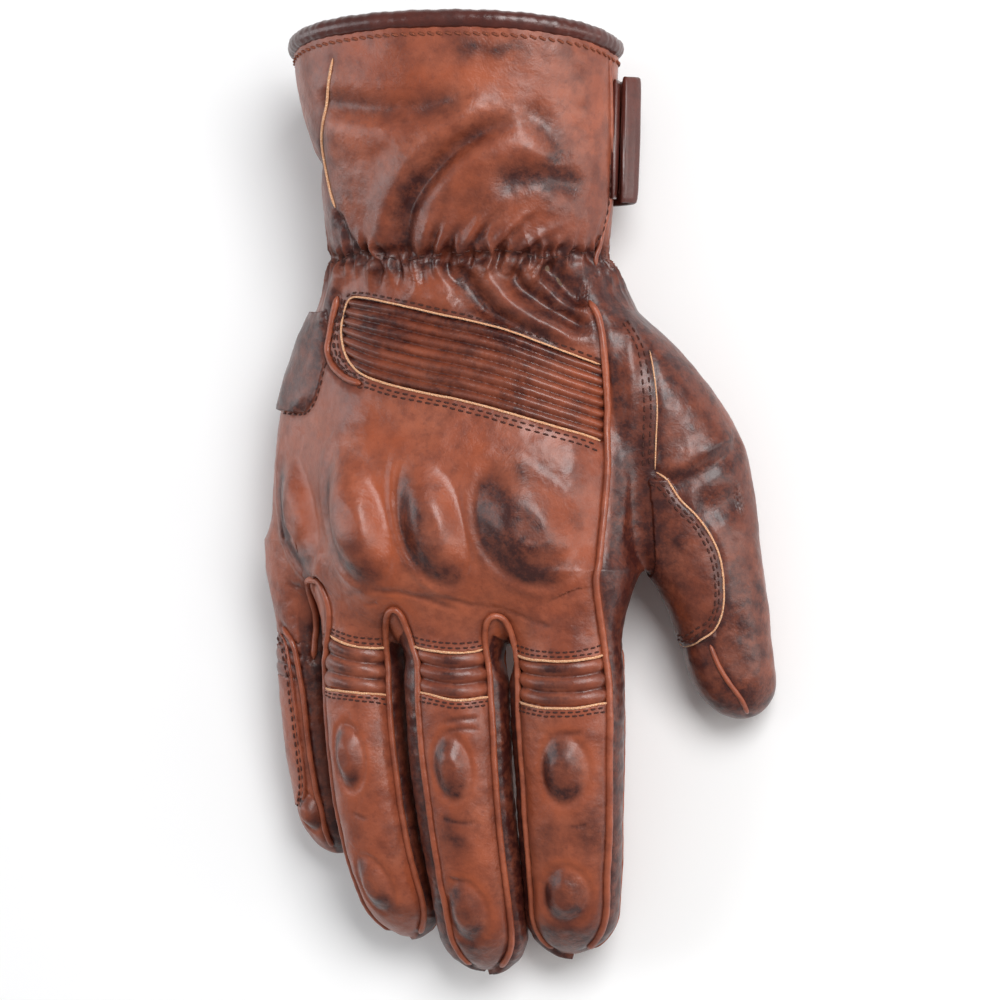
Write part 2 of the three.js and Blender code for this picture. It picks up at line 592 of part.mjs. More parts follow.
const strapRoot = cuff(strapMiddle, STRAP_ROOT, strapLift(strapMiddle, STRAP_ROOT) + LEATHER / 2);
hinges.strap = [{ point: strapRoot, axis: new THREE.Vector3(0, -1, 0) }];

// Centre the glove over its footprint and stand it on z = 0.
const box = new THREE.Box3().setFromObject(glove);
const centre = box.getCenter(new THREE.Vector3());
const shift = new THREE.Vector3(-centre.x, -centre.y, -box.min.z);
glove.children.forEach((mesh) => mesh.geometry.translate(shift.x, shift.y, shift.z));
glove.userData.shift = shift;
glove.userData.hinges = hinges;

export default glove;
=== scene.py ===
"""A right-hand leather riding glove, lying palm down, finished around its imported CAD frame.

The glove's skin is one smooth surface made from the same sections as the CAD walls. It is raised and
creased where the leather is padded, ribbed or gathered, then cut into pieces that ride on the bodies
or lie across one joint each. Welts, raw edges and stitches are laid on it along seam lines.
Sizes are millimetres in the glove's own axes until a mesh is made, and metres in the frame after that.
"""
import json
import math

import bpy
import numpy as np
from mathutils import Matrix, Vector, noise
from mathutils.bvhtree import BVHTree


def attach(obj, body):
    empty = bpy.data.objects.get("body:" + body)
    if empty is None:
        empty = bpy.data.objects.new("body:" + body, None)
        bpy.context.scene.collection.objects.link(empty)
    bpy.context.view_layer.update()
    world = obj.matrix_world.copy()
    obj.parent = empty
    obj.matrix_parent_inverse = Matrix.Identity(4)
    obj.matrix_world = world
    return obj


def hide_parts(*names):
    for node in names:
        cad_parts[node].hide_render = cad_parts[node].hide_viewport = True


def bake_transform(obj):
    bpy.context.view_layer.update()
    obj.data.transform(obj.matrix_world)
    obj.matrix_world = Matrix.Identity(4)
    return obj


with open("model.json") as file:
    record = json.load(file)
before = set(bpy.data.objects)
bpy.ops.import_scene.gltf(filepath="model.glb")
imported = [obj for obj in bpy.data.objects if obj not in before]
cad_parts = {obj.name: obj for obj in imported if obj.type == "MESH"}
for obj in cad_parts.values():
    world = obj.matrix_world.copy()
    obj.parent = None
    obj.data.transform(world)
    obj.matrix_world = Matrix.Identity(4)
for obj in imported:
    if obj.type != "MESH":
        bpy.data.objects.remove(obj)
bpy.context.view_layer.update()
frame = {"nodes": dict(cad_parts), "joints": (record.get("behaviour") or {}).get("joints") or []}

MM = 0.001
JOINTS = {joint["name"]: joint for joint in frame["joints"]}
WRIST_POINT = np.array([-11.0, 65.0, 27.5])
SHIFT = np.array(JOINTS["wrist_bend"]["pos_m"]) / MM - WRIST_POINT  # from the glove's axes to the frame's


# ---- small helpers ---------------------------------------------------------------------------------
def smooth(a, b, x):
    """0 before a, 1 after b, and a smooth step between them."""
    t = np.clip((x - a) / (b - a), 0, 1)
    return t * t * (3 - 2 * t)


def bump(x, width):
    """1 at zero, fading to nothing over about two widths."""
    return np.exp(-((x / width) ** 2))


def track(rows):
    """A smooth curve through rows of (y, value, value...), given as a function y -> list of arrays."""
    rows = np.array(sorted(rows), float)
    y, values = rows[:, 0], rows[:, 1:]
    slope = np.empty_like(values)
    slope[1:-1] = (values[2:] - values[:-2]) / (y[2:] - y[:-2])[:, None]
    slope[0] = (values[1] - values[0]) / (y[1] - y[0])
    slope[-1] = (values[-1] - values[-2]) / (y[-1] - y[-2])

    def at(where):
        i = np.clip(np.searchsorted(y, where) - 1, 0, len(y) - 2)
        span = y[i + 1] - y[i]
        t = np.clip((where - y[i]) / span, 0, 1)
        t2, t3 = t * t, t * t * t
        a, b, c, d = 2 * t3 - 3 * t2 + 1, (t3 - 2 * t2 + t) * span, 3 * t2 - 2 * t3, (t3 - t2) * span
        return [a * values[i, k] + b * slope[i, k] + c * values[i + 1, k] + d * slope[i + 1, k]
                for k in range(values.shape[1])]

    return at


# ---- the glove's sections, as in the CAD part ------------------------------------------------------
# Hand columns: y, centre x, centre z, half width, half depth, drop of the little-finger side.
hand_track = track([
    (74, -10.8, 27.5, 40.5, 23, 0), (58, -11.4, 27, 42.8, 21, 2), (45, -14, 28, 47.5, 21.5, 6),
    (27, -16.2, 31, 52, 21.2, 11), (8, -16.7, 33.5, 54.6, 20.5, 14), (-12, -16.8, 35, 55.2, 19.5, 17),
    (-29, -16.7, 35.5, 54.2, 17.5, 18), (-44, -16.9, 34.5, 53.4, 15, 18),
])
HAND_POWER = 2.35
ARCH_FROM, ARCH_TO, INDEX_DROP = 15, 46, 2.5
HAND_CAP_FROM, HAND_CAP = -18, 21  # the hand closes between the fingers over this stretch
# Cuff columns: y, centre x, centre z, half width, half depth.
cuff_track = track([
    (140, -13.4, 32.5, 47.6, 28), (115, -13, 32, 46, 27.2), (93, -10.6, 31, 42.8, 26),
    (79, -10.6, 29.6, 41.6, 24.6), (66, -11, 28, 39.6, 23),
])
CUFF_POWER = 2.15
CUFF_TOP, CUFF_TOP_RISE, CUFF_TOP_DIP = 124, 6.5, 1.5
# Digit columns: y, centre x, centre z, half width, half depth.
CAP = 13
DIGIT_POWER = 2.15
DIGITS = {
    "index": dict(roll=4, tip=-128.7, joints=(-38, -60, -99), rows=[
        (-20, 20, 33.5, 15.4, 13.2), (-42, 20.1, 33, 15.4, 12.8), (-63, 20.5, 31.6, 15.4, 12.3),
        (-85, 20.1, 28.6, 14.6, 11.8), (-100, 19.5, 25.4, 13.6, 11.3), (-115, 18.1, 20.5, 12.8, 10.6),
        (-128.7, 15.8, 14.4, 12.2, 10)]),
    "middle": dict(roll=9, tip=-134, joints=(-38, -61, -104), rows=[
        (-20, -12.5, 35.5, 13.6, 13.2), (-42, -12.5, 35, 13.6, 12.7), (-63, -11.9, 34.4, 13.6, 12.2),
        (-85, -10.9, 31.8, 13, 11.7), (-107, -9.6, 26.6, 12.3, 11.1), (-120, -9.5, 21, 12, 10.6),
        (-134, -9.8, 14.2, 11.6, 10)]),
    "ring": dict(roll=20, tip=-125.3, joints=(-38, -59, -99), rows=[
        (-16, -41.2, 31, 11.4, 12.2), (-42, -41.1, 30.4, 11.2, 11.6), (-62, -40.4, 30.2, 11.2, 11.3),
        (-82, -38.8, 28.4, 11.4, 11.1), (-100, -36.8, 24.6, 11.3, 10.8), (-112, -34.7, 19.8, 11, 10.4),
        (-125.3, -33, 13.8, 10.6, 10)]),
    "little": dict(roll=42, tip=-102, joints=(-38, -54.5, -78), rows=[
        (-12, -61.4, 18.6, 10.4, 10.4), (-36, -61.4, 17.4, 10, 10), (-58, -60.8, 15.4, 9.9, 9.9),
        (-74, -59.8, 13, 9.9, 9.8), (-88, -58, 10.8, 9.8, 9.6), (-102, -56, 9.2, 9.4, 9.2)]),
    "thumb": dict(roll=-24, tip=-61.8, joints=(6, -27), rows=[
        (52, 22, 24, 13, 14), (41, 33.5, 23, 15, 14.6), (27, 44.2, 21.4, 16, 14.4),
        (14, 50.8, 19.6, 16, 14),
        (0, 53.4, 18, 15.8, 13.6), (-14, 55.4, 16.8, 15.2, 13.2), (-28, 58.2, 15.4, 14.2, 12.4),
        (-40, 60.2, 13, 12.8, 11.6), (-61.8, 63.6, 10.4, 11.4, 10.4)]),
}
FINGERS = ("index", "middle", "ring", "little")
for digit in DIGITS.values():
    digit["track"] = track(digit["rows"])
    digit["turn"] = math.radians(digit["roll"])


def hand_local(x, y, z):
    """Offsets from the hand's arched middle line, and the half sizes there."""
    cx, cz, half_width, half_depth, drop = hand_track(y)
    u = x - cx
    arch = drop * smooth(ARCH_FROM, ARCH_TO, -u) + INDEX_DROP * (np.maximum(u, 0) / half_width) ** 2
    return u, z - cz + arch, half_width, half_depth


def cuff_local(x, y, z):
    cx, cz, half_width, half_depth = cuff_track(y)
    return x - cx, z - cz, half_width, half_depth


def digit_local(digit, x, y, z):
    cx, cz, half_width, half_depth = digit["track"](y)
    c, s = math.cos(digit["turn"]), math.sin(digit["turn"])
    return (x - cx) * c + (z - cz) * s, (z - cz) * c - (x - cx) * s, half_width, half_depth


def norm(u, v, half_width, half_depth, power):
    return (np.abs(u / half_width) ** power + np.abs(v / half_depth) ** power) ** (1 / power)


def hand_distance(x, y, z):
    """About the distance to the hand and cuff together, negative inside."""
    u, v, half_width, half_depth = hand_local(x, y, z)
    close = np.clip((HAND_CAP_FROM - y) / HAND_CAP, 0, None)
    palm = (np.sqrt(norm(u, v, half_width, half_depth, HAND_POWER) ** 2 + close ** 2) - 1) * half_depth
    u, v, half_width, half_depth = cuff_local(x, y, z)
    gauntlet = (norm(u, v, half_width, half_depth, CUFF_POWER) - 1) * half_depth
    share = smooth(60, 72, y)
    return palm * (1 - share) + gauntlet * share


def digit_distance(digit, x, y, z):
    u, v, half_width, half_depth = digit_local(digit, x, y, z)
    close = np.clip((digit["tip"] + CAP - y) / CAP, 0, None)
    r = np.sqrt(norm(u, v, half_width, half_depth, DIGIT_POWER) ** 2 + close ** 2)
    beyond = np.clip(y - digit["rows"][0][0], 0, None)  # a digit ends inside the hand
    return (r - 1) * half_depth + 0.8 * beyond


def soft_union(a, b, reach):
    h = np.clip(reach - np.abs(a - b), 0, None) / reach
    return np.minimum(a, b) - h * h * reach / 4


def glove_distance(x, y, z):
    fingers = digit_distance(DIGITS["index"], x, y, z)
    for name in FINGERS[1:]:
        fingers = np.minimum(fingers, digit_distance(DIGITS[name], x, y, z))
    whole = soft_union(hand_distance(x, y, z), fingers, 7)
    return soft_union(whole, digit_distance(DIGITS["thumb"], x, y, z), 9)


# ---- the smooth skin -------------------------------------------------------------------------------
def surface_net(values, origin, step):
    """Points and quads round the zero level of a field sampled on a grid."""
    inside = values < 0
    corners = np.array([(i, j, k) for i in (0, 1) for j in (0, 1) for k in (0, 1)])
    nx, ny, nz = np.array(values.shape) - 1
    count = sum(inside[i:nx + i, j:ny + j, k:nz + k].astype(np.int8) for i, j, k in corners)
    mixed = (count > 0) & (count < 8)
    cell = np.argwhere(mixed)
    index = np.full(mixed.shape, -1, np.int64)
    index[mixed] = np.arange(len(cell))
    at = np.stack([values[cell[:, 0] + i, cell[:, 1] + j, cell[:, 2] + k] for i, j, k in corners], 1)
    total, hits = np.zeros((len(cell), 3)), np.zeros(len(cell))
    for a in range(8):
        for b in range(a + 1, 8):
            if np.abs(corners[a] - corners[b]).sum() != 1:
                continue
            crossing = (at[:, a] < 0) != (at[:, b] < 0)
            t = np.where(crossing, at[:, a] / np.where(crossing, at[:, a] - at[:, b], 1), 0)
            total += (corners[a] + t[:, None] * (corners[b] - corners[a])) * crossing[:, None]
            hits += crossing
    points = origin + step * (cell + total / hits[:, None])
    quads = []
    for axis in range(3):
        first, second = (axis + 1) % 3, (axis + 2) % 3
        low = np.take(inside, range(values.shape[axis] - 1), axis)
        high = np.take(inside, range(1, values.shape[axis]), axis)
        edge = np.argwhere(low != high)
        limits = np.array(mixed.shape)
        keep = (edge[:, first] > 0) & (edge[:, second] > 0)
        keep &= (edge[:, first] < limits[first]) & (edge[:, second] < limits[second])
        edge = edge[keep]
        around = []
        for da, db in ((-1, -1), (0, -1), (0, 0), (-1, 0)):
            at_cell = edge.copy()
            at_cell[:, first] += da
            at_cell[:, second] += db
            around.append(index[tuple(at_cell.T)])
        quad = np.stack(around, 1)
        flip = ~low[tuple(edge.T)]
        quad[flip] = quad[flip][:, ::-1]
        quads.append(quad)
    return points, np.concatenate(quads)


def gradient(points, reach=0.05):
    """The direction in which the glove's distance grows, at each point."""
    out = np.empty_like(points)
    for k in range(3):
        ahead, behind = points.copy(), points.copy()
        ahead[:, k] += reach
        behind[:, k] -= reach
        out[:, k] = (glove_distance(*ahead.T) - glove_distance(*behind.T)) / (2 * reach)
    return out


def unit(vectors):
    return vectors / np.maximum(np.linalg.norm(vectors, axis=-1, keepdims=True), 1e-9)


def mesh_normals(points, quads):
    across = np.cross(points[quads[:, 2]] - points[quads[:, 0]], points[quads[:, 3]] - points[quads[:, 1]])
    normals = np.stack([np.bincount(quads.ravel(), np.repeat(across[:, k], 4), len(points))
                        for k in range(3)], 1)
    return unit(normals)


def neighbour_mean(values, quads, count):
    """For each point, the mean of a value (or vector) over the quads round it."""
    values = values.reshape(len(values), -1)
    per_quad = values[quads].mean(1)
    share = np.bincount(quads.ravel(), minlength=count)
    out = np.stack([np.bincount(quads.ravel(), np.repeat(column, 4), count) for column in per_quad.T], 1)
    return out / np.maximum(share, 1)[:, None]


def project(points):
    """Moves points along the slope, onto the glove's zero level."""
    slope = gradient(points)
    size = (slope ** 2).sum(1)
    return points - (glove_distance(*points.T) / np.maximum(size, 0.05))[:, None] * slope


def refine(points, quads, chosen):
    """Cuts the chosen quads in four. A neighbour that gains a middle point on an edge becomes a fan."""
    ends = np.sort(np.stack([quads, np.roll(quads, -1, 1)], 2), 2).reshape(-1, 2)
    key = ends[:, 0] * len(points) + ends[:, 1]
    unique, first, edge = np.unique(key, return_index=True, return_inverse=True)
    edge = edge.reshape(-1, 4)
    cut = np.zeros(len(unique), bool)
    cut[edge[chosen].ravel()] = True
    middle_index = np.full(len(unique), -1, np.int64)
    middle_index[cut] = len(points) + np.arange(cut.sum())
    middles = points[ends[first[cut]]].mean(1)
    centres = points[quads[chosen]].mean(1)
    centre_index = len(points) + len(middles) + np.arange(len(centres))
    corner, side = quads[chosen], middle_index[edge[chosen]]
    fine = np.concatenate([np.stack([corner[:, k], side[:, k], centre_index, side[:, k - 1]], 1)
                           for k in range(4)])
    rest, rest_edges = quads[~chosen], middle_index[edge[~chosen]]
    plain = (rest_edges < 0).all(1)
    fans = []
    for face, sides in zip(rest[~plain].tolist(), rest_edges[~plain].tolist()):
        ring = [p for pair in zip(face, sides) for p in pair if p >= 0]
        start = next(i for i, p in enumerate(ring) if p in sides)
        ring = ring[start:] + ring[:start]
        fans += [[ring[0], ring[i], ring[i + 1], ring[i + 1]] for i in range(1, len(ring) - 1)]
    return np.concatenate([points, middles, centres]), np.concatenate([rest[plain], fine, np.array(fans)])


SKIN_STEP = 0.8
GRID_CORNER = np.array([-76.0, -138.0, -4.0])
GRID_SIZE = (154, 284, 74)
DETAIL_TO = 100  # the fine leather work is on the upper side, up to here
axes = [low + SKIN_STEP * np.arange(math.ceil(size / SKIN_STEP)) for low,
        size in zip(GRID_CORNER, GRID_SIZE)]
field = glove_distance(axes[0][:, None, None], axes[1][None, :, None], axes[2][None, None, :])
base, quads = surface_net(field, GRID_CORNER, SKIN_STEP)
for _ in range(2):
    base = project(neighbour_mean(base, quads, len(base)))
up = mesh_normals(base, quads)[:, 2]
fine_quads = (up[quads].mean(1) > -0.1) & (base[quads][:, :, 1].mean(1) < DETAIL_TO)
base, quads = refine(base, quads, fine_quads)
base = project(base)
normals = unit(gradient(base))
x, y, z = base.T


# ---- where each point is ---------------------------------------------------------------------------
def owner(points):
    """Which shape each point lies nearest to: 0 hand or cuff, 1 to 4 the fingers, 5 the thumb."""
    return np.argmin([hand_distance(*points.T)] + [digit_distance(DIGITS[n], *points.T) for n in DIGITS], 0)


def angle_of(local):
    """Degrees round a section: 0 towards the thumb, 90 at the back, 180 at the little finger's side."""
    u, v, half_width, half_depth = local
    return np.degrees(np.arctan2(v / half_depth, u / half_width)) % 360


def between(degrees, low, high, soft=3.0):
    """1 inside a span of angles, with soft ends. low may be negative."""
    centre, half = (low + high) / 2, (high - low) / 2
    away = np.abs((degrees - centre + 180) % 360 - 180)
    return 1 - smooth(half - soft, half + soft, away)


OWNERS = ["hand", *DIGITS]
which = owner(base)
hand_angle = angle_of(hand_local(x, y, z))
cuff_angle = angle_of(cuff_local(x, y, z))
digit_angle = {name: angle_of(digit_local(DIGITS[name], x, y, z)) for name in DIGITS}
on = {name: which == k for k, name in enumerate(OWNERS)}
# The angles of each finger's back: from the welt on its thumb side to the one on its other side.
BACKS = {"index": (26, 145), "middle": (19, 118), "ring": (14, 142), "little": (50, 172)}


def oval(degrees, power):
    """A point on an oval of half sizes 1, at an angle. It is squarer the greater the power."""
    c, s = np.cos(np.radians(degrees)), np.sin(np.radians(degrees))
    return np.sign(c) * np.abs(c) ** (2 / power), np.sign(s) * np.abs(s) ** (2 / power)


def digit_point(name, where, degrees):
    """Points on a digit's surface, closed to nothing at its tip."""
    digit = DIGITS[name]
    where = np.atleast_1d(np.asarray(where, float))
    cx, cz, half_width, half_depth = digit["track"](where)
    close = np.clip((digit["tip"] + CAP - where) / CAP, 0, 1)
    size = np.sqrt(1 - close ** 2)
    u, v = oval(degrees, DIGIT_POWER)
    u, v = size * half_width * u, size * half_depth * v
    c, s = math.cos(digit["turn"]), math.sin(digit["turn"])
    return np.stack([cx + u * c - v * s, where, cz + u * s + v * c], 1)


def section_point(section, power, where, degrees, off=0.0):
    """Points on a hand or cuff section, or that far off it, without the hand's arch."""
    where, degrees = np.broadcast_arrays(np.atleast_1d(np.asarray(where, float)), degrees)
    cx, cz, half_width, half_depth = section(where)[:4]
    u, v = oval(degrees, power)
    return np.stack([cx + (half_width + off) * u, where, cz + (half_depth + off) * v], 1)


def spline(points, step=0.7):
    """A smooth curve through the points, resampled at even steps."""
    points = np.array(points, float)
    padded = np.concatenate([[2 * points[0] - points[1]], points, [2 * points[-1] - points[-2]]])
    out = []
    for a, b, c, d in zip(padded, padded[1:], padded[2:], padded[3:]):
        t = np.linspace(0, 1, 13)[:-1, None]
        out.append(0.5 * (2 * b + (c - a) * t + (2 * a - 5 * b + 4 * c - d) * t ** 2
                          + (3 * b - a - 3 * c + d) * t ** 3))
    fine = np.concatenate(out + [points[-1:]])
    run = np.concatenate([[0], np.cumsum(np.linalg.norm(np.diff(fine, axis=0), axis=1))])
    at = np.linspace(0, run[-1], max(3, int(run[-1] / step)))
    return np.stack([np.interp(at, run, fine[:, k]) for k in range(3)], 1)


def near(path, reach):
    """The points within reach of a path: their indices, distances and shares along it."""
    low, high = path.min(0) - reach, path.max(0) + reach
    index = np.flatnonzero(((base > low) & (base < high)).all(1))
    found = np.full(len(index), np.inf)
    share = np.zeros(len(index))
    for start in range(0, len(index), 20000):
        block = base[index[start:start + 20000]]
        square = ((block[:, None] - path[None]) ** 2).sum(2)
        found[start:start + 20000] = np.sqrt(square.min(1))
        share[start:start + 20000] = square.argmin(1) / (len(path) - 1)
    keep = found < reach
    return index[keep], found[keep], share[keep]


# ---- seams: their points were chosen along the seams that the photograph shows --------------------------
def leg(name, degrees, start):
    """Points down a digit at one angle, from start to its tip."""
    tip = DIGITS[name]["tip"]
    where = [*np.arange(start, tip + 14, -9.0), *np.linspace(tip + 9, tip + 1.6, 5)]
    return digit_point(name, where, degrees).tolist()


RIGHT_WELT = [(28, 54.6, 38.3), (31.1, 49, 39), (33.1, 32.4, 39.7), (33.8, 13.1, 40.1), (33.8, -0.7, 42),
              (32.7, -17.2, 44.3), (32, -22.7, 45.5), (32.4, -34.3, 42.1), (33.3, -42.1, 40.4)]
LITTLE_WELT = [(-68.2, -36.9, 24.7), (-64.1, -41.7, 26.7), (-62.5, -49.6, 26.3)]
FORK_LITTLE = [(-57.6, -46, 26.5), (-56.6, -34.8, 27.5), (-57.2, -25.6, 31.5), (-54, -22.7, 36.9),
               (-50.6, -24.6, 40.5),
               (-48.5, -31.5, 41.4), (-49.6, -41.2, 38.5)]
FORK_RING = [(-31.6, -45, 37), (-30.2, -36.5, 43), (-28.4, -32.9, 47.3), (-25.9, -31.2, 49),
             (-24.2, -33, 48),
             (-23.2, -38.9, 46.2)]
FORK_MIDDLE = [(-0.2, -45, 42), (-0.2, -36.6, 45), (1, -33.7, 46), (2.8, -32.6, 46), (5.3, -34.6, 44.5),
               (5.9, -43.4, 41.5)]
welts = {
    "right": spline(RIGHT_WELT + leg("index", BACKS["index"][0], -52)),
    "fork_little": spline(FORK_LITTLE + leg("ring", BACKS["ring"][1], -50)),
    "fork_ring": spline(leg("ring", BACKS["ring"][0], -54)[::-1] + FORK_RING
                        + leg("middle", BACKS["middle"][1], -47)),
    "fork_middle": spline(leg("middle", BACKS["middle"][0], -54)[::-1] + FORK_MIDDLE
                          + leg("index", BACKS["index"][1], -50)),
    "little": spline(LITTLE_WELT + leg("little", BACKS["little"][0], -58)),
    "edge": spline([(-45.3, 56.6, 40.3), (-47.6, 47.1, 40.5), (-48.8, 41.4, 40.5), (-46.1, 36.9, 43),
                    (-40.8, 33.4, 47), (-35.3, 31.6, 50)]),
}
FLEX_UPPER = [(-43.3, 51, 42.6), (-42.4, 54, 42.6), (-40.1, 56.1, 43.3), (-27.4, 54.1, 47.4),
              (-15.3, 51.4, 48.5),
              (4.9, 46.8, 47.8), (18.4, 41.8, 44.6), (31.8, 36.4, 40.2)]
FLEX_LOWER = [(-43.3, 51, 42.6), (-43.4, 46.9, 43.2), (-42.2, 41.3, 44.8), (-38.5, 36.7, 47.7),
              (-32.2, 33.2, 50.6),
              (-17, 29.2, 51.9), (-2.5, 26.3, 51.7), (16.8, 20.8, 48.6), (32.6, 15.8, 41.4)]
flex_upper = track([(px, py) for px, py, _ in FLEX_UPPER[1:]])
flex_lower = track([(-43.3, 45.5), (-42.2, 41.3), *[(px, py) for px, py, _ in FLEX_LOWER[3:]]])
rib_upper = track([(-44, 56.6), *[(px, py) for px, py, _ in FLEX_UPPER[3:]]])
rib_lower = track([(-44, 38), *[(px, py) for px, py, _ in FLEX_LOWER[4:]]])
welt_x = track([(py, px) for px, py, _ in RIGHT_WELT] + [(72, 31), (62, 29)])
# The ribbed strips at the finger bases: the curves of their upper and lower edges.
STRIPS = {
    "ring": ([(-48.2, -38.6, 40), (-46.6, -39.4, 40.8), (-42, -41.1, 42.1), (-35, -42.1, 40.8),
              (-31, -42.2, 37.6)],
             [(-50.2, -53.6, 37), (-48.1, -54.1, 39.3), (-38.8, -54.8, 41.8), (-31, -55.7, 36.2)]),
    "middle": ([(-22.6, -41.3, 44.2), (-14.1, -42.6, 47.6), (-8, -43, 47.3), (-1, -42.3, 43.2)],
               [(-20.6, -54.2, 44.4), (-10.1, -56.1, 47.2), (-5, -56.1, 45.8), (0.2, -55.2, 41.4)]),
    "index": ([(6.4, -43.8, 40.6), (12, -44.8, 44.6), (19.3, -45.1, 45.6), (27.1, -44.8, 44.7),
               (33.4, -43.5, 40.4)],
              [(7, -56.6, 39.4), (10.5, -57.2, 42.4), (16.8, -58.2, 44.1), (26.8, -58, 43.8),
               (34, -56.6, 39)]),
    "little": ([(-71, -38.5, 20), (-67, -39.5, 24.6), (-62.4, -41.3, 26.8)],
               [(-70, -50.5, 18.5), (-66, -51.5, 23.6), (-61.6, -52.3, 25.8)]),
}
CUFF_SEAM = [(-41.6, 122, 54.7), (-45.3, 108, 51.1), (-48, 97.3, 46), (-46.7, 87.5, 44.7),
             (-44.4, 81, 45.4),
             (-41.3, 73.4, 45.6), (-39.6, 66, 44)]
CUFF_SIDE = [(33.5, 122, 35), (34.2, 105, 33), (33.4, 93, 31), (31.3, 81, 29.8), (29.7, 72.6, 31.5),
             (28.3, 64.5, 33.6),
             (22.9, 56.5, 40.3)]
THUMB_SEAM = [(38.5, 50, 33), (42, 45, 33.8), (44.1, 40.8, 34.2), (46.7, 26.9, 36.2), (46.2, 15.9, 35.5),
              (45.6, 7.6, 34.4)]
THUMB_PATCH = [(45.8, 7, 33.8), (49.2, 4.8, 33.8), (52.3, -0.7, 32.7), (57.5, -6.2, 30.8),
               (61.2, -13.1, 28.7),
               (62.9, -20.1, 27.5), (62.6, -31.1, 26.4), (60.4, -36.7, 25.7), (55.8, -39.5, 24.8),
               (51.6, -41, 21.5),
               (48.6, -40.5, 17.5)]
THUMB_TIP = [(58.7, -40.9, 24.8), (60.7, -46.5, 23.7), (63.7, -52, 22.1), (66.1, -56.3, 18.6),
             (66.6, -60, 14)]
LITTLE_PATCH = [(-70, -38.7, 22.3), (-66.6, -41.7, 25.6), (-65, -49.1, 25.8), (-64.3, -57.7, 25),
                (-63, -70, 23.3),
                (-62.5, -80.6, 21.2), (-63.4, -86.5, 19.3), (-66.5, -90, 15)]
EDGE_PATCH = [(-48.2, 52.7, 38.9), (-48.4, 44.2, 40.5), (-50.1, 35.8, 40.3), (-52.6, 28.4, 39.1),
              (-56, 24.6, 36.6),
              (-61, 24, 32.8), (-65, 26, 28)]
HEEL = [(-30, 18), (14, 20), (24, 34), (18, 53), (-12, 57), (-38, 52), (-45, 36)]  # plan of the padded heel
